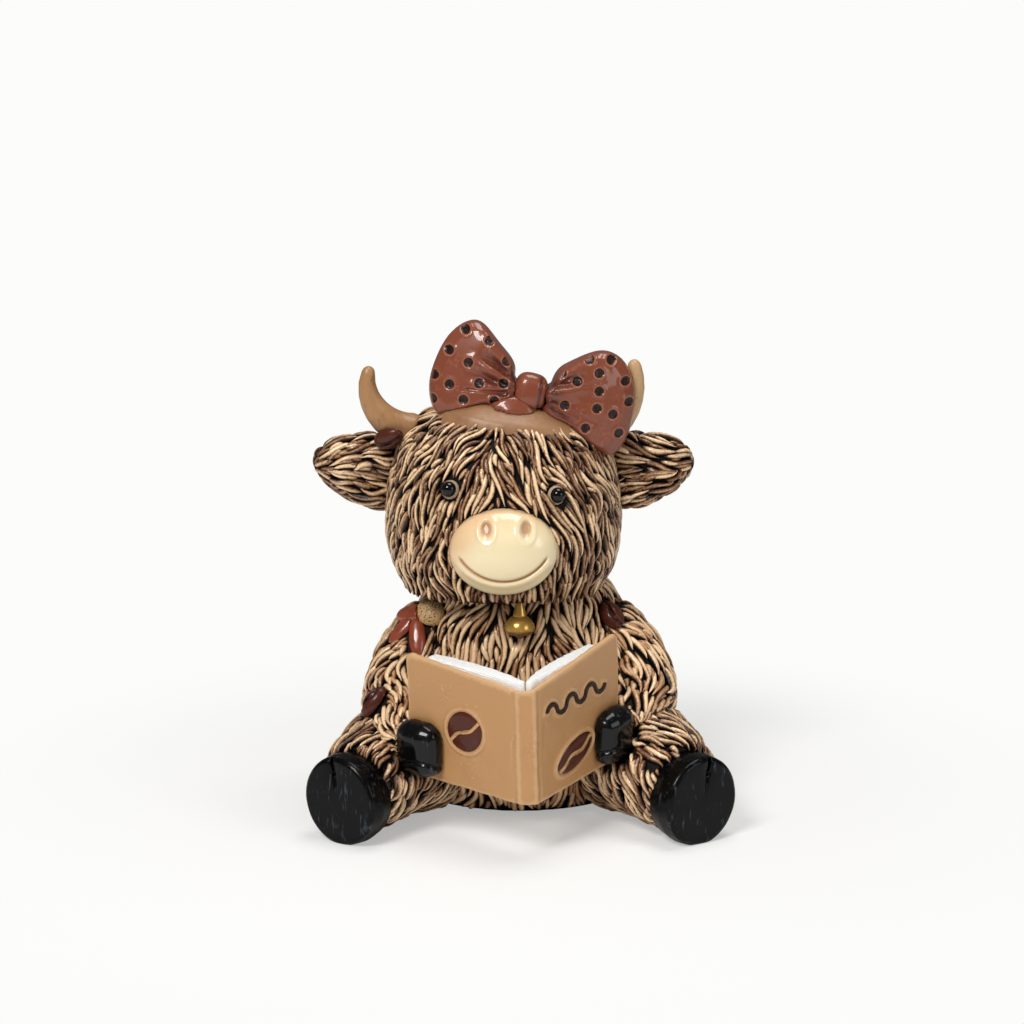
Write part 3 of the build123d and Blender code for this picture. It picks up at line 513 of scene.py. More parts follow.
class KeepOut:
    """Solids and spheres that strands stay out of; a margin below zero lets them in that far."""

    def __init__(self, margins, spheres=()):
        self.trees = [(solid_tree(node), margin) for node, margin in margins.items()]
        self.spheres = spheres

    def holds(self, place):
        for centre, radius in self.spheres:
            if (place - centre).length < radius:
                return True
        for tree, margin in self.trees:
            spot, _, _, distance = tree.find_nearest(place, SEARCH_REACH)
            if spot is None:
                continue
            if distance < margin:
                return True
            if distance > -margin and inside(tree, place):
                return True
        return False


def inside(tree, place):
    """Whether a line from the place crosses the solid's skin an odd number of times."""
    crossings = 0
    start = place
    while crossings < MOST_CROSSINGS:
        spot, _, _, _ = tree.ray_cast(start, LOOK_ALONG)
        if spot is None:
            break
        crossings += 1
        start = spot + LOOK_ALONG * SKIP
    return crossings % 2 == 1


def lowest_tip(node, place):
    """How low a strand may reach; the head's strands end over the chest and clear of the bell."""
    if node != "head":
        return LOWEST_TIP
    return LOWEST_CHIN_TIP if abs(place.x - MUZZLE_SPOT.x) < CHIN_HALF_WIDTH else LOWEST_JAW_TIP


def strand_path(carrier, start, flow, length, swing, keep_out, combed, node):
    """Places, normals and headings along one strand, which ends soon after it meets another one."""
    steps = max(int(length / STRAND_STEP), SHORTEST_STRAND)
    bend, phase = swing
    place = start
    path = []
    met = 0
    for step in range(steps):
        spot, normal, _, _ = carrier.tree.find_nearest(place)
        hanging = bool(path) and node == "head" and normal.z < HANG_NORMAL
        if hanging:
            spot = place
            normal = path[-1][1]
        if combed.crowded(spot):
            met += 1
        if met > (TIP_OVERLAP if path else 0):
            break
        if spot.z < lowest_tip(node, spot) or keep_out.holds(spot + normal * STRAND_MIDDLE):
            break
        heading = path[-1][2].lerp(Vector((0, 0, -1)), 0.5) if hanging else flow(spot, normal)
        if not hanging:
            heading = heading - normal * heading.dot(normal)
        if heading.length < TINY:
            break
        heading.normalize()
        angle = bend * math.sin(math.tau * (step / steps * SWAY + phase))
        heading.rotate(Quaternion(normal, angle))
        path.append((spot, normal, heading))
        place = spot + heading * STRAND_STEP
    return path


def ring_of(path, share):
    """Place, normal and heading at a share of the way along a path."""
    spot = share * (len(path) - 1)
    index = min(int(spot), len(path) - 2)
    part = spot - index
    first, second = path[index], path[index + 1]
    return tuple(first[item].lerp(second[item], part) for item in range(3))


def strand_skin(path, size, layer, tone_and_sunk_shade, places, faces, paint):
    """Adds the rings and faces of one strand along a path."""
    base = len(places)
    rings = len(STRAND_WIDTHS)
    sides = len(STRAND_SECTION)
    for ring in range(rings):
        share = ring / (rings - 1)
        spot, normal, heading = ring_of(path, share)
        aside = normal.cross(heading).normalized()
        half = size / 2 * STRAND_WIDTHS[ring]
        middle = spot + normal * (STRAND_LIFTS[ring] + layer)
        for (across, up), crest in zip(STRAND_SECTION, STRAND_CREST):
            place = middle + aside * (across * half) + normal * (up * half)
            place.z = max(place.z, FLOOR_GAP)
            places.append(place)
            paint["crest"].append(crest)
            paint["along"].append(share)
            paint["tone_and_sunk_shade"].append(tone_and_sunk_shade)
    for ring in range(rings - 1):
        for side in range(sides):
            beside = (side + 1) % sides
            low = base + ring * sides
            faces.append((low + side, low + sides + side, low + sides + beside, low + beside))
    last = base + (rings - 1) * sides
    faces.append(tuple(base + side for side in range(sides)))
    faces.append(tuple(last + side for side in reversed(range(sides))))


def lay_coat(carrier, flow, keep_out, width, node, seed):
    """Combs strands over a carrier: the long ones first, then shorter ones into what is left."""
    dice = np.random.default_rng(seed)
    length = STRAND_LENGTHS[node.split("_")[0]]
    combed = Combed(width * max(share for _, share, _ in STRAND_PASSES))
    strands = []
    tries = int(carrier.areas.sum() / (width * length) * TRIES)
    for least, share, sunk in STRAND_PASSES:
        combed.gap = width * share
        for start in carrier.scatter(tries, dice):
            reach = length * dice.uniform(*LENGTH_SPREAD)
            swing = (dice.normal(0, BEND_SPREAD), dice.random())
            path = strand_path(carrier, start, flow, reach, swing, keep_out, combed, node)
            if len(path) < least:
                continue
            combed.add(path)
            size = width * dice.uniform(*WIDTH_SPREAD)
            layer = sunk + dice.uniform(*LIFT_SPREAD)
            # Random tone, scaled down for the sunk passes so that those strands read darker:
            # painted shade under the strands above
            strands.append((path, size, layer, dice.random() * (1 + sunk * 2)))
    return strands


def coat_mesh(name, strands):
    places = []
    faces = []
    paint = {"crest": [], "along": [], "tone_and_sunk_shade": []}
    for strand in strands:
        strand_skin(*strand, places, faces, paint)
    mesh = bpy.data.meshes.new(name)
    mesh.from_pydata([place * MM for place in places], [], faces)
    for key, values in paint.items():
        store_values(mesh, key, values)
    mesh.validate()
    mesh.shade_smooth()
    return link(bpy.data.objects.new(name, mesh))


def wander(place, size, seed):
    """Smooth random turn between about -1 and 1."""
    return noise.noise(place / size + Vector((seed, seed * 2.3, seed * 4.1)))


def turned(heading, normal, angle):
    aim = heading.copy()
    aim.rotate(Quaternion(normal, angle))
    return aim


def coat_finish(name, settings, warmth, wear):
    """Antique paint: dark wash in the grooves, brown flanks and dry-brushed crests, with painted
    shade on the sides and roots of the strands and on the sunk strands.
    """
    finish = Finish(name)
    tone_and_sunk_shade = finish.attribute("tone_and_sunk_shade")
    blotch = finish.noise(5.0, 3.0)
    grain = finish.noise(0.5, 3.0)
    # Share from groove to crest: the dark wash and dry-brushing, and painted shade on the sides of
    # each strand
    wear_and_painted_light = finish.attribute("crest") + (grain - 0.5) * 0.45 + (blotch - 0.5) * 0.4
    wear_and_painted_light = wear_and_painted_light + (tone_and_sunk_shade - 0.5) * 0.2 + wear
    light = wear_and_painted_light.step(0.6, 1.08)
    shade = finish.mix(settings.groove, settings.flank, wear_and_painted_light.step(0.26, 0.74))
    shade = finish.mix(shade, settings.crest, light)
    tone = finish.mix(warmth, WHITE, (tone_and_sunk_shade * 0.7 + blotch * 0.5).step(0.15, 0.85))
    shade = finish.mix(shade, tone, 1.0, "MULTIPLY")
    # Darker towards each strand's root, where it dives under its neighbours: painted shade
    root = finish.attribute("along").step(-0.05, 0.2)
    shade = finish.mix(settings.groove, shade, root * 0.85 + 0.15)
    finish.surface(Base_Color=shade, Roughness=0.38 - light * 0.12, Specular_IOR_Level=0.25)
    finish.surface(Coat_Weight=light * 0.7, Coat_Roughness=0.1)
    finish.bump(grain, 0.06)
    return finish


# Near-black skin under the strands: the dark wash, and painted shade in the gaps between strands
def undercoat_finish(settings):
    finish = Finish("coat_wash_and_shade")
    grain = finish.noise(0.9, 4.0)
    shade = finish.mix(settings.groove, settings.flank, grain.step(0.45, 1.0) * 0.1)
    finish.surface(Base_Color=shade, Roughness=0.7, Specular_IOR_Level=0.2)
    finish.bump(grain, 0.3)
    return finish


# Flow of the coat, in millimetres
PARTING = Vector((-3.5, -14.0, 99.0))
BROW = Vector((-4.0, -26.0, 84.5))
BROW_REACH = 11
MUZZLE_SPOT = Vector((-4.0, -30.0, 67.0))
MUZZLE_REACH = 15
JAW_TOP = 70
EAR_MIDDLE_UP = 81


def head_flow(place, normal):
    """From the parting down all round, fanned out round the muzzle and in again at the jaw."""
    heading = (place - PARTING).normalized() + Vector((0, 0, -0.55))
    front = max(0.0, -normal.y)
    off = place - BROW
    fan = math.exp(-(off.length / BROW_REACH) ** 2) * 0.3
    aside = math.copysign(1, off.x) * min(abs(off.x) / 3, 1)
    heading += Vector((aside, 0, -0.4)) * fan * front * 1.2
    away = place - MUZZLE_SPOT
    push = math.exp(-(away.length / MUZZLE_REACH) ** 2) * front
    heading += Vector((away.x, 0, away.z * 0.4)).normalized() * push
    heading.z -= max(0.0, (JAW_TOP - place.z) / 12) * 0.8
    return turned(heading, normal, wander(place, 7.0, 3))


def body_flow(place, normal):
    """Down, with a waver from side to side."""
    return turned(Vector((place.x * 0.012, 0, -1)), normal, 1.05 * wander(place, 7.5, 11))


def arm_flow(side):
    """From the shoulder over the elbow to the hand."""
    shoulder = Vector((side * 19.5, -2, 47))
    elbow = Vector((side * 29, -10, 30))
    hand = Vector((side * 23, -33, 24))
    upper = (elbow - shoulder).normalized()
    fore = (hand - elbow).normalized()

    def flow(place, normal):
        share = min(max((38 - place.z) / 12 + (-place.y - 10) / 18, 0), 1)
        heading = upper.lerp(fore, share)
        heading += Vector((side * 0.35, 0, -0.25)) * (1 - share)
        return turned(heading, normal, 0.8 * wander(place, 7.5, 17))

    return flow


def leg_flow(side):
    """Along the top of the leg, and down its sides."""
    along = Vector((side * 0.56, -0.83, 0))

    def flow(place, normal):
        heading = Vector((0, 0, -1)) + along * 0.55
        if normal.z > 0.55:
            heading = along + Vector((side * 0.5, 0, -0.4))
        return turned(heading, normal, 0.8 * wander(place, 7.5, 23))

    return flow


def ear_flow(side):
    """Out to the tip, and away from the ear's middle line."""

    def flow(place, normal):
        heading = Vector((side, 0, -0.25 * math.copysign(1, place.z - EAR_MIDDLE_UP)))
        return turned(heading, normal, 0.8 * wander(place, 6.0, 29))

    return flow


# How far strands stay from the solids that they meet; below zero they run into them
JOIN = -0.6
BOOK_MARGINS = {"book_cover": 0.2, "page_block_left": 0.1, "page_block_right": 0.1}
BOW_MARGINS = {"bow_bed": -1.6, "bow_loop_left": -0.5, "bow_loop_right": -0.5, "bow_flap": 0.0}
RIBBON_NODES = ("ribbon_knot", "ribbon_loop", "ribbon_tail_front", "ribbon_tail_back")
RIBBON_MARGINS = dict.fromkeys(RIBBON_NODES, 0.0)
BELL_MARGINS = {"bell": 0.3, "bell_hanger": 0.0}
HEAD_MARGINS = {
    "muzzle": -0.3,
    "torso": -1.0,
    **dict.fromkeys(("horn_left", "horn_right"), -0.4),
    **dict.fromkeys(("ear_left", "ear_right"), JOIN),
    **dict.fromkeys(("head_bean", "shoulder_bean", "ribbon_button"), 0.0),
    **BOW_MARGINS,
    **BELL_MARGINS,
}
TORSO_MARGINS = {
    "head": -1.0,
    "shoulder_bean": 0.3,
    "ribbon_button": 0.0,
    **dict.fromkeys(("arm_left", "arm_right", "leg_left", "leg_right"), JOIN),
    **BOOK_MARGINS,
    **RIBBON_MARGINS,
    **BELL_MARGINS,
}
ARM_MARGINS = {
    "left": {**RIBBON_MARGINS, "ribbon_button": 0.0, "arm_bean": 0.4},
    "right": {"shoulder_bean": 0.3},
}
EAR_MARGINS = {"left": {"head_bean": 0.0}, "right": {}}
EYE_CLEARING = 2.45
UNDERCOAT_DEPTH = 0.15
COAT_VOXEL = 0.9
EAR_WIDENING = 1.1
HEAD_WEAR = -0.02
BODY_WEAR = 0.09
STRAND_LENGTHS = {"head": 12.5, "torso": 14.0, "arm": 12.0, "leg": 11.0, "ear": 10.0}
SPLIT_COATS = ("head", "torso")
FIRST_SEED = 5


def coat_regions(settings):
    """How the strands of each coat run, what they stay out of, and how wide they are."""
    face = settings.face_strand / MM
    body = settings.body_strand / MM
    eyes = [(centre_of(node), EYE_CLEARING) for node in ("eye_left", "eye_right")]
    regions = {
        "head": (head_flow, KeepOut(HEAD_MARGINS, eyes), face),
        "torso": (body_flow, KeepOut(TORSO_MARGINS), body),
    }
    for side, name in ((-1, "left"), (1, "right")):
        arm, leg, hand = "arm_" + name, "leg_" + name, "hand_hoof_" + name
        beside_arm = {"torso": JOIN, "head": JOIN, hand: JOIN, leg: JOIN}
        beside_arm |= {**BOOK_MARGINS, **ARM_MARGINS[name]}
        beside_leg = {"torso": JOIN, arm: JOIN, "foot_hoof_" + name: JOIN, hand: 0.0}
        beside_leg |= BOOK_MARGINS
        beside_ear = {"head": JOIN, "horn_" + name: 0.0, **BOW_MARGINS, **EAR_MARGINS[name]}
        regions[arm] = (arm_flow(side), KeepOut(beside_arm), body)
        regions[leg] = (leg_flow(side), KeepOut(beside_leg), body)
        regions["ear_" + name] = (ear_flow(side), KeepOut(beside_ear), face * EAR_WIDENING)
    return regions


def front_and_back(node, strands):
    """A large coat's strands as two pieces, told apart by where each strand starts."""
    middle = centre_of(node).y
    coats = {"coat_" + node + "_front": [], "coat_" + node + "_back": []}
    front, back = coats.values()
    for strand in strands:
        root = strand[0][0][0]
        (front if root.y < middle else back).append(strand)
    return coats


class FIGURINE_OT_coat(bpy.types.Operator):
    """Lay carved strands over the head, body and limbs"""

    bl_idname = "figurine.coat"
    bl_label = "Coat"

    def execute(self, context):
        settings = context.scene.figurine_coat
        wash = undercoat_finish(settings)
        head_paint = coat_finish("head_coat_paint", settings, HEAD_WARMTH, HEAD_WEAR)
        body_paint = coat_finish("body_coat_paint", settings, BODY_WARMTH, BODY_WEAR)
        for seed, (node, region) in enumerate(coat_regions(settings).items(), FIRST_SEED):
            skin = smooth_copy(node, COAT_VOXEL, 6)
            strands = lay_coat(Carrier(skin), *region, node, seed)
            coats = {"coat_" + node: strands}
            if node in SPLIT_COATS:
                coats = front_and_back(node, strands)
            move_out(skin, -UNDERCOAT_DEPTH)
            finish_piece(skin, "undercoat_" + node, [node], wash)
            paint = body_paint if node.startswith(("torso", "arm")) else head_paint
            for name, chosen in coats.items():
                finish_piece(coat_mesh(name, chosen), name, [], paint)
        return {"FINISHED"}


# Face, in millimetres
MUZZLE_MIDDLE_UP = 66.3
MUZZLE_BACK = 3.0
SMILE_RADIUS = 12.1
SMILE_CENTRE_UP = 6.1
SMILE_HALF_ANGLE = math.radians(57)
NOSTRIL_SPACING = 9.0
NOSTRIL_UP = 5.9
NOSTRIL_SHIFT = 0.7
NOSTRIL_DEPTH = 1.3
EYE_LIFT = 0.38
RIM_DEPTH = 0.15


def muzzle_finish(settings):
    finish = Finish("cream_glaze")
    across, _, up = finish.parts(finish.moved(centre_of("muzzle") * MM))
    edge = (across * across / (12.0 * MM) ** 2) + (up * up / (10.0 * MM) ** 2)
    blotch = finish.noise(6.0, 3.0)
    blush = (edge + (up * 1.6 - across) * 45 + (blotch - 0.5) * 0.8).step(0.5, 1.7)
    shade = finish.mix(settings.muzzle, settings.blush, blush * 0.6)
    pit = finish.attribute("pit")
    shade = finish.mix(shade, PIT_BROWN, pit * 0.85)
    finish.surface(Base_Color=shade, Roughness=0.24 + pit * 0.3)
    finish.surface(Coat_Weight=0.35, Coat_Roughness=0.08)
    finish.bump(finish.noise(2.2, 2.0), 0.04)
    return finish


def smile_shape(across, up):
    """Rise of the lip round the smile's groove, and how deep the groove is, in millimetres."""
    aside = np.arctan2(across, SMILE_CENTRE_UP - up)
    off = SMILE_RADIUS - np.hypot(across, SMILE_CENTRE_UP - up)
    share = 1 - rise_between(np.abs(aside), SMILE_HALF_ANGLE - 0.10, SMILE_HALF_ANGLE + 0.04)
    groove = hump(off, 0.34) * share
    lip = hump(off + 1.25, 0.75) * share - 0.4 * hump(off + 2.6, 0.7) * share
    return 0.42 * lip - 0.7 * groove, groove


def muzzle_piece(settings):
    """Egg shaped from a ball, with nostrils, a cut smile and a raised lower lip."""
    low, high = (Vector(corner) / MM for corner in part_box("muzzle"))
    middle = Vector(((low.x + high.x) / 2, high.y - 1.2, MUZZLE_MIDDLE_UP))
    deselect()
    bpy.ops.mesh.primitive_ico_sphere_add(subdivisions=7, radius=MM, location=(0, 0, 0))
    piece = bpy.context.object
    ball = points_of(piece)
    across = ball[:, 0] * (high.x - low.x) / 2
    up = ball[:, 2] * np.where(ball[:, 2] > 0, high.z - middle.z, middle.z - low.z)
    back = ball[:, 1] * np.where(ball[:, 1] < 0, middle.y - low.y, MUZZLE_BACK)
    front = rise_between(-ball[:, 1], 0.05, 0.4)
    rise, groove = smile_shape(across, up)
    pit = groove * front
    for side in (-1, 1):
        spot = NOSTRIL_SHIFT + side * NOSTRIL_SPACING / 2
        off = np.hypot((across - spot) / 1.5, (up - NOSTRIL_UP) / 2.2)
        hole = 1 - rise_between(off, 0.35, 1.1)
        rise = rise - NOSTRIL_DEPTH * hole + 0.22 * hump(off - 1.45, 0.3)
        pit = np.maximum(pit, hole * 0.85 * front)
    back = back - rise * front
    place_points(piece, np.stack([across + middle.x, back + middle.y, up + middle.z], axis=1))
    store_values(piece.data, "pit", pit)
    pick(piece)
    bpy.ops.object.shade_smooth()
    finish_piece(piece, "muzzle_egg", ["muzzle"], muzzle_finish(settings))


def eye_pieces(settings):
    black = Finish("eye_glaze")
    black.surface(Base_Color=settings.eye, Roughness=0.05, Specular_IOR_Level=0.35)
    pale = Finish("eye_rim_paint")
    grain = pale.noise(0.6, 3.0)
    shade = pale.mix(settings.rim, RIM_BROWN, grain.step(0.4, 0.9) * 0.5)
    pale.surface(Base_Color=shade, Roughness=0.4)
    pale.bump(grain, 0.06)
    for side in ("left", "right"):
        dress("eye_" + side, "eye_bead_" + side, "eye", black, 0.16, 4, move_out, EYE_LIFT)
        rim = "eye_rim_" + side
        dress(rim, "eye_rim_ring_" + side, "eye_rim", pale, 0.14, 4, move_out, -RIM_DEPTH)


class FIGURINE_OT_face(bpy.types.Operator):
    """Shape the muzzle with its smile, and set the bead eyes in their rims"""

    bl_idname = "figurine.face"
    bl_label = "Face"

    def execute(self, context):
        settings = context.scene.figurine_face
        muzzle_piece(settings)
        eye_pieces(settings)
        return {"FINISHED"}


# Bow and horns
BOW_ROLL = math.radians(14.4)
# Across and up of each dot from the knot, in the bow's own plane, in millimetres
BOW_LEFT_DOTS = (
    (-18.0, 10.0), (-12.0, 9.0), (-20.5, 4.5), (-15.5, 3.0), (-7.0, 5.5), (-18.5, -3.0),
    (-12.0, -1.0), (-6.5, 0.5), (-14.5, -5.5), (-7.5, -4.0), (-22.5, -2.0), (-21.5, -7.5),
)
BOW_RIGHT_DOTS = (
    (6.0, 6.0), (11.5, 10.5), (16.5, 11.5), (14.5, 8.0), (10.0, 5.0), (21.0, 7.5),
    (15.5, 4.0), (8.5, -1.0), (23.0, 3.0), (16.0, 0.0), (20.0, -0.5), (22.5, -4.5), (14.5, -5.0),
)
# Heading in degrees, depth and length in millimetres of each fold that runs out from the knot
LEFT_FOLDS = ((48, 0.9, 10), (25, 1.5, 17), (3, 1.3, 17), (-16, 0.9, 12))
RIGHT_FOLDS = ((48, 0.8, 10), (31, 1.4, 16), (11, 0.8, 10), (-6, 1.1, 13), (-22, 1.3, 16))
DOT_DEPTH = 0.32
KNOT_LIFT = 0.25
KNOT_FOLD_ACROSS = 2.4
KNOT_FOLD_SLANT = 0.1
KNOT_FOLD_WIDTH = 0.45
KNOT_FOLD_DEPTH = 0.35


def bow_plane(places):
    """Across, up and forward in the bow's own plane, in millimetres from its knot."""
    off = places - np.array(centre_of("bow_knot"))
    across = off[:, 0] * math.cos(BOW_ROLL) - off[:, 2] * math.sin(BOW_ROLL)
    up = off[:, 0] * math.sin(BOW_ROLL) + off[:, 2] * math.cos(BOW_ROLL)
    return across, up, -off[:, 1]


def bow_finish(name, settings, dots):
    """Red-brown glaze with painted shade in the folds, lighter patches of wear and dark dots."""
    finish = Finish(name)
    across, _, up = finish.parts(finish.moved(centre_of("bow_knot") * MM, (0, -BOW_ROLL, 0)))
    nearest = None
    for spot_across, spot_up in dots:
        off_across = across - spot_across * MM
        off_up = up - spot_up * MM
        square = off_across * off_across + off_up * off_up
        nearest = square if nearest is None else nearest.least(square)
    blotch = finish.noise(4.0, 3.0)
    grain = finish.noise(0.8, 3.0)
    # Random blotches, and painted shade in the fold grooves that the pleat share marks
    shadow = blotch * 0.9 + finish.attribute("pleat")
    cloth = finish.mix(settings.cloth, CLOTH_DARK, shadow.step(0.37, 1.37))
    cloth = finish.mix(cloth, CLOTH_LIGHT, (grain * blotch).step(0.26, 0.5) * 0.45)
    if nearest is not None:
        away = nearest.root() / (settings.dot_size / 2)
        front = finish.attribute("front")
        dot = (1 - away.step(0.82, 0.98)) * front
        ring = away.step(0.85, 1.02) * (1 - away.step(1.05, 1.35)) * front
        cloth = finish.mix(cloth, DOT_RING, ring * 0.35)
        cloth = finish.mix(cloth, settings.dot, dot * (1.2 - grain * 0.5).least(1))
        finish.bump(1 - dot * (1 - grain), 0.25)
        finish.surface(Coat_Weight=0.6 - dot * 0.4)
    else:
        finish.bump(grain, 0.05)
        finish.surface(Coat_Weight=0.6)
    finish.surface(Base_Color=cloth, Roughness=0.3 + grain * 0.12)
    finish.surface(Specular_IOR_Level=0.22, Coat_Roughness=0.05)
    return finish


def fold_loop(piece, folds, side, dots):
    """Presses folds that fan out from the knot, and a shallow pit for each dot."""
    across, up, _ = bow_plane(points_of(piece))
    reach = np.hypot(across, up)
    angle = np.degrees(np.arctan2(up, side * across))
    width = 0.5 + reach * 0.06
    rise = np.zeros(len(across))
    pleat = np.zeros(len(across))
    for heading, depth, length in folds:
        off = np.radians(angle - heading) * reach
        fade = (1 - rise_between(reach, length * 0.45, length)) * rise_between(reach, 2.5, 5.0)
        groove = hump(off, width) * fade
        banks = hump(off - 2.1 * width, width) + hump(off + 2.1 * width, width)
        rise += depth * (0.45 * banks * fade - groove)
        pleat = np.maximum(pleat, groove)
    front = rise_between(np.abs(normals_of(piece)[:, 1]), 0.25, 0.5)
    for spot_across, spot_up in dots:
        off = np.hypot(across - spot_across, up - spot_up)
        pit = DOT_DEPTH * (1 - rise_between(off, 0.75, 1.35))
        rise += front * (0.1 * hump(off - 1.5, 0.3) - pit)
    move_out(piece, rise)
    # The pleat share marks the fold grooves, which the bow's paint darkens as painted shade
    store_values(piece.data, "pleat", pleat)
    store_values(piece.data, "front", front)


def pinch_knot(piece):
    """Fills the knot out, with one upright fold where it gathers the cloth."""
    move_out(piece, KNOT_LIFT)
    across, up, forward = bow_plane(points_of(piece))
    pleat = hump(across - KNOT_FOLD_ACROSS + KNOT_FOLD_SLANT * up, KNOT_FOLD_WIDTH)
    pleat *= rise_between(forward, 0.5, 3.0)
    move_out(piece, -KNOT_FOLD_DEPTH * pleat)
    # The pleat share marks the knot's fold, which the bow's paint darkens as painted shade
    store_values(piece.data, "pleat", pleat)


def bed_finish(settings):
    finish = Finish("bed_paint")
    blotch = finish.noise(7.0, 4.0)
    grain = finish.noise(1.0, 3.0)
    shade = finish.mix(settings.bed, BED_LIGHT, blotch.step(0.5, 0.9))
    shade = finish.mix(shade, BED_DARK, (1 - blotch.step(0.15, 0.5)) * 0.6)
    finish.surface(Base_Color=shade, Roughness=0.36 + grain * 0.14)
    finish.bump(blotch * 0.7 + grain * 0.3, 0.3)
    return finish


def horn_finish(settings):
    """Tan, streaked along the horn, lighter to the right and darker at the root."""
    finish = Finish("horn_paint")
    across, _, up = finish.parts(finish.place())
    streak = finish.noise(1.0, 4.0, finish.moved(scale=(1.0, 1.0, 0.25)))
    blotch = finish.noise(6.0, 3.0)
    speck = finish.noise(0.7, 2.0)
    shade = finish.mix(settings.horn, HORN_STREAK, streak.step(0.45, 0.85) * 0.6)
    shade = finish.mix(shade, HORN_BLOTCH, blotch.step(0.5, 0.85) * 0.6)
    shade = finish.mix(shade, HORN_LIGHT, (across / MM).step(0, 8) * 0.6)
    shade = finish.mix(shade, HORN_SPECK, (speck + streak * 0.3).step(0.78, 0.9) * 0.6)
    shade = finish.mix(shade, HORN_ROOT, (1 - (up / MM).step(90, 95)) * 0.55)
    finish.surface(Base_Color=shade, Roughness=0.34 + streak * 0.12)
    finish.bump(streak, 0.12)
    return finish


class FIGURINE_OT_bow(bpy.types.Operator):
    """Fold the bow over its bed, with its knot and flap, and set the horns"""

    bl_idname = "figurine.bow"
    bl_label = "Bow and horns"

    def execute(self, context):
        settings = context.scene.figurine_bow
        voxel = 0.28
        for node, folds, side, dots in (
            ("bow_loop_left", LEFT_FOLDS, -1, BOW_LEFT_DOTS),
            ("bow_loop_right", RIGHT_FOLDS, 1, BOW_RIGHT_DOTS),
        ):
            paint = bow_finish(node + "_paint", settings, dots)
            dress(node, node + "_cloth", "bow", paint, voxel, 14, fold_loop, folds, side, dots)
        paint = bow_finish("bow_knot_paint", settings, ())
        dress("bow_knot", "bow_knot_cloth", "bow", paint, 0.45, 40, pinch_knot)
        dress("bow_bed", "bow_bed_skin", "bed", bed_finish(settings), 0.5, 8, dent, 0.25, 6.0, 2)
        dress("bow_flap", "bow_flap_cloth", "bow", paint, 0.3, 10)
        paint = horn_finish(settings)
        for node in ("horn_left", "horn_right"):
            dress(node, node + "_skin", "horn", paint, 0.4, 10)
        return {"FINISHED"}


# Book and beans
PAGE_LIFT = 1.0
PAGE_THICKNESS = 3.6
PAGE_LINES = 9.0
# The cover rises round what is raised on it
BORDER_HEIGHTS = {"cover_bean_left": 0.6, "cover_bean_right": 0.6, "cover_scroll": 0.3}
BEAN_FACING = Vector((0.0, -1.0, 0.2)).normalized()
FEWEST_IN_GROOVE = 12
CREASE_WIDTH = 0.3


def cover_finish(settings):
    finish = Finish("cover_paint")
    blotch = finish.noise(9.0, 4.0)
    grain = finish.noise(0.7, 3.0)
    shade = finish.mix(settings.cover, COVER_DARK, blotch.step(0.4, 0.9) * 0.7)
    shade = finish.mix(shade, COVER_LIGHT, (grain * blotch).step(0.3, 0.5) * 0.35)
    # Lighter on convex edges and round the raised beans: partly edge wear, partly painted highlight
    shade = finish.mix(shade, COVER_EDGE_HIGHLIGHT, finish.attribute("edge") * 0.25)
    dimple = 1 - finish.cells(5.5).step(0.03, 0.10)
    finish.surface(Base_Color=shade, Roughness=0.38 + grain * 0.1)
    finish.bump(blotch * 0.8 + grain * 0.05 + dimple * 0.12, 0.5)
    return finish


def page_finish(settings):
    """White paint over fine parallel grooves that read as page edges, with painted shade in the
    grooves.
    """
    finish = Finish("page_paint")
    line = (finish.attribute("leaf") * PAGE_LINES).fraction()
    groove = (line - 0.5).magnitude().step(0.34, 0.5)
    grain = finish.noise(1.4, 3.0)
    # Darker in the grooves between the leaves: painted shade
    shade = finish.mix(settings.pages, PAGE_GROOVE, groove * 0.4)
    shade = finish.mix(shade, PAGE_SHADE, grain.step(0.5, 1.0) * 0.3)
    finish.surface(Base_Color=shade, Roughness=0.5)
    finish.bump(1 - groove * 0.8, 0.16)
    return finish


def bean_finish(name, settings, light_crease):
    finish = Finish(name)
    blotch = finish.noise(2.5, 3.0)
    shade = finish.mix(settings.bean, BEAN_LIGHT, blotch.step(0.45, 0.9) * 0.6)
    crease = finish.attribute("crease")
    if light_crease:
        shade = finish.mix(shade, CREASE_LIGHT, crease.step(0.25, 0.6))
    else:
        shade = finish.mix(shade, CREASE_DARK, crease * 0.8)
    finish.surface(Base_Color=shade, Roughness=0.3 + blotch * 0.1, Specular_IOR_Level=0.15)
    finish.surface(Coat_Weight=0.25, Coat_Roughness=0.1)
    return finish


def hollow_share(piece, depth, rounds=30):
    """How far each place lies in a crease, from 0 to 1, or on an edge for a depth below zero.

    The shape is compared with a smoothed copy of itself.
    """
    soft = piece.copy()
    soft.data = piece.data.copy()
    soften(link(soft), rounds)
    sunk = ((points_of(soft) - points_of(piece)) * normals_of(piece)).sum(axis=1)
    bpy.data.objects.remove(soft)
    return rise_between(sunk / depth, 0.3, 1.0)


def mark_creases(piece):
    # Crease share, which the ribbon's paint darkens as painted shade
    store_values(piece.data, "crease", hollow_share(piece, 0.3))


def cut_crease(piece, depth):
    """Deepens and marks the crease of a bean along the line of its moulded groove."""
    places = points_of(piece)
    found = places[hollow_share(piece, 0.1) > 0.5]
    crease = np.zeros(len(places))
    if len(found) > FEWEST_IN_GROOVE:
        middle = found.mean(axis=0)
        line = np.linalg.svd(found - middle, full_matrices=False)[2][0]
        off = places - middle
        sway = off @ np.cross(line, np.array(BEAN_FACING)) - 0.3 * np.sin(off @ line * 0.8)
        crease = hump(sway, CREASE_WIDTH)
    move_out(piece, -depth * crease)
    store_values(piece.data, "crease", crease)


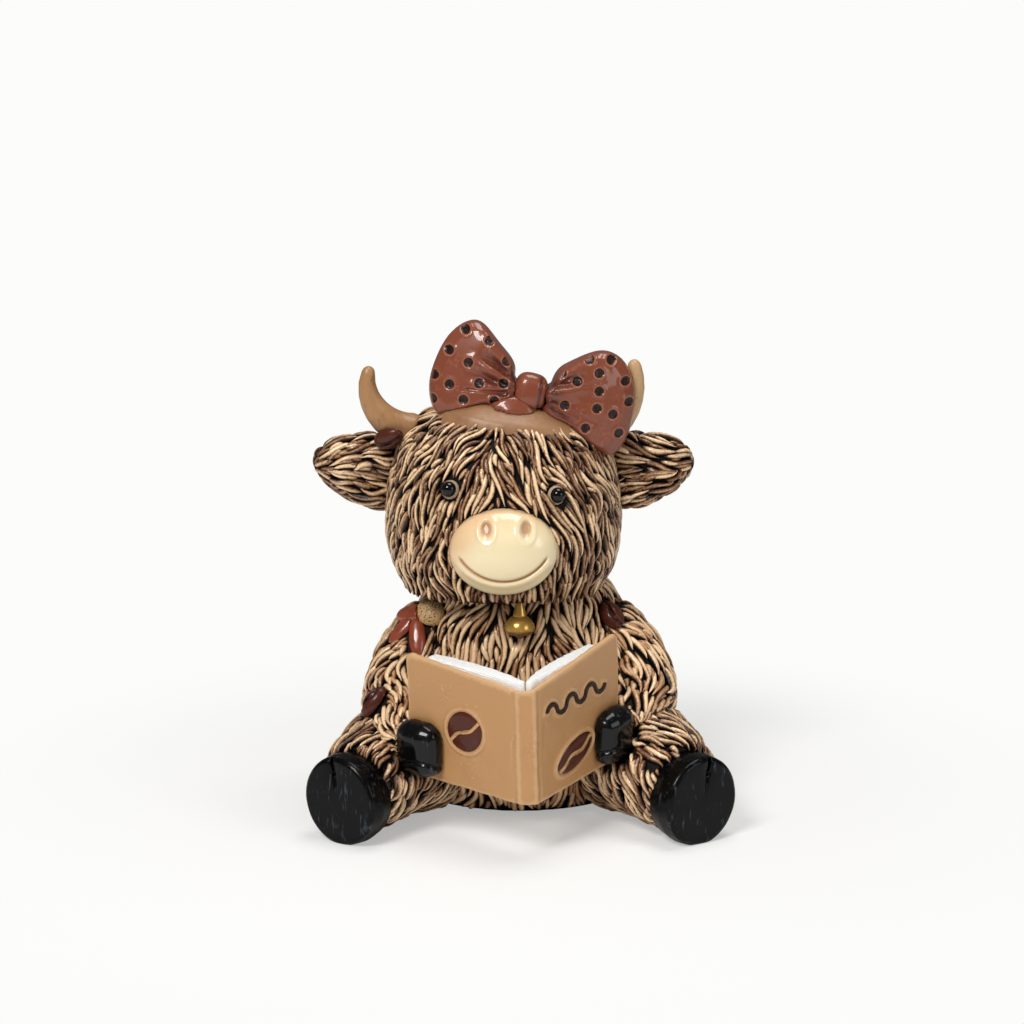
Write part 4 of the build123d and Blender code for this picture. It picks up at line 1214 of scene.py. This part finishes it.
def shape_cover(cover):
    """Uneven boards with a low border round what is raised on them."""
    places = points_of(cover)
    border = np.zeros(len(places))
    for node, height in BORDER_HEIGHTS.items():
        border = np.maximum(border, height * hump(distances_to(node, places) - 0.5, 0.42))
    move_out(cover, 0.16 * lumps(places, 7.0, 4) + 0.08 * lumps(places, 2.5, 5) + border)
    # Convex edges, which the cover's paint lightens: edge wear and painted highlight
    store_values(cover.data, "edge", hollow_share(cover, -0.1, 20))


def shape_pages(pages):
    """Lifts the open pages, and marks each place with its share of the block's thickness."""
    places = points_of(pages)
    places[:, 2] += PAGE_LIFT * rise_between(normals_of(pages)[:, 2], 0.3, 0.8)
    place_points(pages, places)
    store_values(pages.data, "leaf", distances_to("book_cover", places) / PAGE_THICKNESS)


class FIGURINE_OT_book(bpy.types.Operator):
    """Paint the open book, its pages and its raised decoration"""

    bl_idname = "figurine.book"
    bl_label = "Book"

    def execute(self, context):
        settings = context.scene.figurine_book
        paint = cover_finish(settings)
        dress("book_cover", "cover_board", "cover", paint, 0.4, 3, shape_cover)
        paint = page_finish(settings)
        for side in ("left", "right"):
            dress("page_block_" + side, "pages_" + side, "pages", paint, 0.35, 3, shape_pages)
        paint = bean_finish("cover_bean_paint", settings, True)
        for node in ("cover_bean_left", "cover_bean_right"):
            dress(node, node + "_relief", "bean", paint, 0.16, 3, cut_crease, 0.3)
        paint = Finish("relief_paint")
        paint.surface(Base_Color=settings.relief, Roughness=0.34, Specular_IOR_Level=0.2)
        paint.bump(paint.noise(0.8, 3.0), 0.06)
        dress("cover_scroll", "cover_wave", "cover_relief", paint, 0.16, 6)
        return {"FINISHED"}


# Hooves
REAR_GLOSS = 0.14
FRONT_GLOSS = 0.45
SOLE_FLATNESS = 0.93


def hoof_finish(name, settings, gloss):
    finish = Finish(name)
    brushed = finish.noise(1.2, 4.0, finish.moved(scale=(1.6, 1.6, 0.35)))
    blotch = finish.noise(5.0, 3.0)
    # Sparse lighter streaks: painted highlights in place of brushed reflections on the black glaze
    wear_and_painted_light = (brushed + blotch * 0.3).step(0.74, 0.9)
    finish.surface(Base_Color=finish.mix(settings.hoof, HOOF_STREAK_HIGHLIGHT, wear_and_painted_light * 0.8), Roughness=0.3)
    finish.surface(Specular_IOR_Level=0.08, Coat_Weight=gloss, Coat_Roughness=0.05)
    finish.bump(brushed * 0.6 + blotch * 0.4, 0.08)
    return finish


def unit(arrow):
    return arrow / np.linalg.norm(arrow)


def sole_cleft(foot, side):
    """Presses a cleft into the sole from its top, fading towards its middle."""
    places = points_of(foot)
    normals = normals_of(foot)
    flat = normals @ unit(np.array([side * 0.55, -0.82, 0.15])) > SOLE_FLATNESS
    middle = places[flat].mean(axis=0)
    facing = unit(normals[flat].mean(axis=0))
    upward = places[flat][np.argmax(places[flat][:, 2])] - middle
    upward = unit(upward - facing * (upward @ facing))
    across = (places - middle) @ np.cross(upward, facing)
    up = (places - middle) @ upward
    share = rise_between(up, 0.5, 8.5) * rise_between(normals @ facing, 0.2, 0.8)
    cleft = 0.9 * hump(across, 0.35) + 0.35 * hump(across, 1.6)
    move_out(foot, 0.1 * lumps(places, 5.0, 7) - cleft * share)


def hoof_crease(hand, middle):
    """Presses the bowed crease where a front hoof folds over the book."""
    places = points_of(hand)
    bow = places[:, 2] - middle.z + 2.6 + 0.06 * (places[:, 0] - middle.x) ** 2
    crease = hump(bow, 0.4) * rise_between(middle.y - places[:, 1], -0.5, 2.0)
    move_out(hand, 0.2 * lumps(places, 4.0, 9) - 0.7 * crease)


class FIGURINE_OT_hooves(bpy.types.Operator):
    """Smooth and glaze the four hooves"""

    bl_idname = "figurine.hooves"
    bl_label = "Hooves"

    def execute(self, context):
        settings = context.scene.figurine_trim
        rear_glaze = hoof_finish("rear_hoof_glaze", settings, REAR_GLOSS)
        front_glaze = hoof_finish("front_hoof_glaze", settings, FRONT_GLOSS)
        for side, name in ((-1, "left"), (1, "right")):
            foot, hand = "foot_hoof_" + name, "hand_hoof_" + name
            dress(foot, "rear_hoof_" + name, "hoof", rear_glaze, 0.32, 5, sole_cleft, side)
            middle = centre_of(hand)
            dress(hand, "front_hoof_" + name, "hoof", front_glaze, 0.35, 40, hoof_crease, middle)
        return {"FINISHED"}


# Bell, beans, ribbon and button
def gold_finish(settings):
    """Gold, darkened on the bell's underside as painted shade."""
    finish = Finish("gold_paint")
    blotch = finish.noise(3.0, 3.0)
    _, _, up = finish.parts(finish.moved(centre_of("bell") * MM))
    # Share of the underside, darkened and made less metallic: painted shade
    under = 1 - (up / MM + (blotch - 0.5) * 0.8).step(-1.9, -0.4)
    shade = finish.mix(settings.gold, GOLD_LIGHT, blotch.step(0.5, 0.9) * 0.5)
    shade = finish.mix(shade, GOLD_UNDERSIDE_SHADE, under * 0.85)
    finish.surface(Base_Color=shade, Roughness=0.2 + blotch * 0.1, Metallic=0.6 - under * 0.4)
    finish.bump(blotch, 0.15)
    return finish


def ribbon_finish(settings):
    finish = Finish("ribbon_paint")
    blotch = finish.noise(2.5, 3.0)
    shade = finish.mix(settings.ribbon, RIBBON_DARK, blotch.step(0.4, 0.9) * 0.7)
    # Darker in the creases: painted shade
    shade = finish.mix(shade, RIBBON_CREASE, finish.attribute("crease") * 0.7)
    finish.surface(Base_Color=shade, Roughness=0.26, Coat_Weight=0.35, Coat_Roughness=0.1)
    return finish


def button_finish(settings):
    finish = Finish("button_paint")
    stipple = finish.cells(0.55).step(0.1, 0.55)
    finish.surface(Base_Color=finish.mix(BUTTON_PIT, settings.button, stipple), Roughness=0.45)
    finish.bump(stipple, 0.14)
    return finish


class FIGURINE_OT_trims(bpy.types.Operator):
    """Finish the bell, the beans on the coat, and the ribbon with its button"""

    bl_idname = "figurine.trims"
    bl_label = "Bell, beans and ribbon"

    def execute(self, context):
        settings = context.scene.figurine_trim
        gold = gold_finish(settings)
        for node in ("bell", "bell_hanger", "bell_clapper"):
            dress(node, node + "_gold", "bell", gold, 0.2, 5)
        brown = bean_finish("bean_paint", context.scene.figurine_book, False)
        for node in ("head_bean", "arm_bean", "shoulder_bean"):
            dress(node, node + "_glaze", "bean", brown, 0.18, 3, cut_crease, 0.35)
        red = ribbon_finish(settings)
        for node in RIBBON_NODES:
            dress(node, node + "_cloth", "ribbon", red, 0.2, 5, mark_creases)
        beige = button_finish(settings)
        dress("ribbon_button", "button_disc", "button", beige, 0.22, 6)
        return {"FINISHED"}


# Stage, in metres
SHADOW_REACH = (0.045, 0.16)
NEAR_GLOW = 0.4
AMBIENT = 0.14
LAMP_TARGET = (0, 0, 60 * MM)
# Place, side and power of each lamp
LAMPS = {
    "key_lamp": ((-0.35, -0.6, 0.7), 0.3, 6.2),
    "fill_lamp": ((0.7, -0.5, 0.35), 0.4, 1.4),
    "top_lamp": ((0.1, 0.05, 0.9), 0.4, 3.4),
}


def floor_finish(settings):
    """Pale floor that keeps the figurine's shadow and looks lighter to the camera than it is."""
    finish = Finish("pale_floor")
    finish.surface(Base_Color=settings.floor, Roughness=0.7, Specular_IOR_Level=0.1)
    glow = finish.node("ShaderNodeEmission", {}, {"Color": BACKDROP, "Strength": 1.0})
    away = finish.node("ShaderNodeVectorMath", {"operation": "LENGTH"}, [finish.place()], "Value")
    share = finish.seen_by_camera() * (away.step(*SHADOW_REACH) * (1 - NEAR_GLOW) + NEAR_GLOW)
    finish.mix_output("Material Output", share, "Principled BSDF", glow)
    return finish


def add_lamp(name, place, size, power):
    data = bpy.data.lights.new(name, "AREA")
    data.size = size
    data.energy = power
    lamp = link(bpy.data.objects.new(name, data))
    lamp.location = place
    aim = Vector(LAMP_TARGET) - Vector(place)
    lamp.rotation_euler = aim.to_track_quat("-Z", "Y").to_euler()


def studio_world():
    """White to the camera, and a dim even light on everything else."""
    world = bpy.data.worlds.new("studio")
    bpy.context.scene.world = world
    graph = Graph(world)
    soft = graph.tree.nodes["Background"].inputs
    soft["Color"].default_value = WHITE
    soft["Strength"].default_value = AMBIENT
    backdrop = graph.node("ShaderNodeBackground", {}, {"Color": BACKDROP, "Strength": 1.0})
    graph.mix_output("World Output", graph.seen_by_camera(), "Background", backdrop)


class FIGURINE_OT_stage(bpy.types.Operator):
    """Set the pale floor, the soft lamps and the camera"""

    bl_idname = "figurine.stage"
    bl_label = "Stage"

    def execute(self, context):
        settings = context.scene.figurine_stage
        deselect()
        bpy.ops.mesh.primitive_plane_add(size=settings.floor_size, location=(0, 0, 0))
        floor = context.object
        floor.name = "floor"
        floor.data.materials.append(floor_finish(settings).material)
        floor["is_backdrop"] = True
        for name, lamp in LAMPS.items():
            add_lamp(name, *lamp)
        studio_world()
        data = bpy.data.cameras.new("photo_camera")
        data.lens = CAMERA_LENS
        data.sensor_width = SENSOR_WIDTH
        data.clip_start = 0.01
        camera = link(bpy.data.objects.new("photo_camera", data))
        back = Vector((0, -math.cos(CAMERA_ELEVATION), math.sin(CAMERA_ELEVATION)))
        camera.location = Vector(CAMERA_TARGET) + back * CAMERA_DISTANCE
        camera.rotation_euler = (math.pi / 2 - CAMERA_ELEVATION, 0, 0)
        context.scene.camera = camera
        context.scene.view_settings.view_transform = "Standard"
        return {"FINISHED"}


OPERATORS = (
    FIGURINE_OT_coat,
    FIGURINE_OT_face,
    FIGURINE_OT_bow,
    FIGURINE_OT_book,
    FIGURINE_OT_hooves,
    FIGURINE_OT_trims,
    FIGURINE_OT_stage,
)
SETTINGS = {
    "figurine_coat": CoatSettings,
    "figurine_face": FaceSettings,
    "figurine_bow": BowSettings,
    "figurine_book": BookSettings,
    "figurine_trim": TrimSettings,
    "figurine_stage": StageSettings,
}


class FIGURINE_PT_panel(bpy.types.Panel):
    """Lists the steps that dress the figurine"""

    bl_idname = "FIGURINE_PT_panel"
    bl_label = "Figurine"
    bl_space_type = "VIEW_3D"
    bl_region_type = "UI"
    bl_category = "Figurine"

    def draw(self, context):
        for operator in OPERATORS:
            self.layout.operator(operator.bl_idname)
        for key, group in SETTINGS.items():
            box = self.layout.box()
            for field in group.__annotations__:
                box.prop(getattr(context.scene, key), field)


def register():
    for group in SETTINGS.values():
        bpy.utils.register_class(group)
    for key, group in SETTINGS.items():
        setattr(bpy.types.Scene, key, bpy.props.PointerProperty(type=group))
    for operator in OPERATORS:
        bpy.utils.register_class(operator)
    bpy.utils.register_class(FIGURINE_PT_panel)


def unregister():
    bpy.utils.unregister_class(FIGURINE_PT_panel)
    for operator in reversed(OPERATORS):
        bpy.utils.unregister_class(operator)
    for key in SETTINGS:
        delattr(bpy.types.Scene, key)
    for group in SETTINGS.values():
        bpy.utils.unregister_class(group)


def write_sizes():
    boxes = {"cad": CAD_BOX, "visual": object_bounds()}
    plain = {key: [list(corner) for corner in box] for key, box in boxes.items()}


def main():
    register()
    bpy.ops.figurine.coat()
    bpy.ops.figurine.face()
    bpy.ops.figurine.bow()
    bpy.ops.figurine.book()
    bpy.ops.figurine.hooves()
    bpy.ops.figurine.trims()
    bpy.ops.figurine.stage()
    write_sizes()


if __name__ == "__main__":
    main()
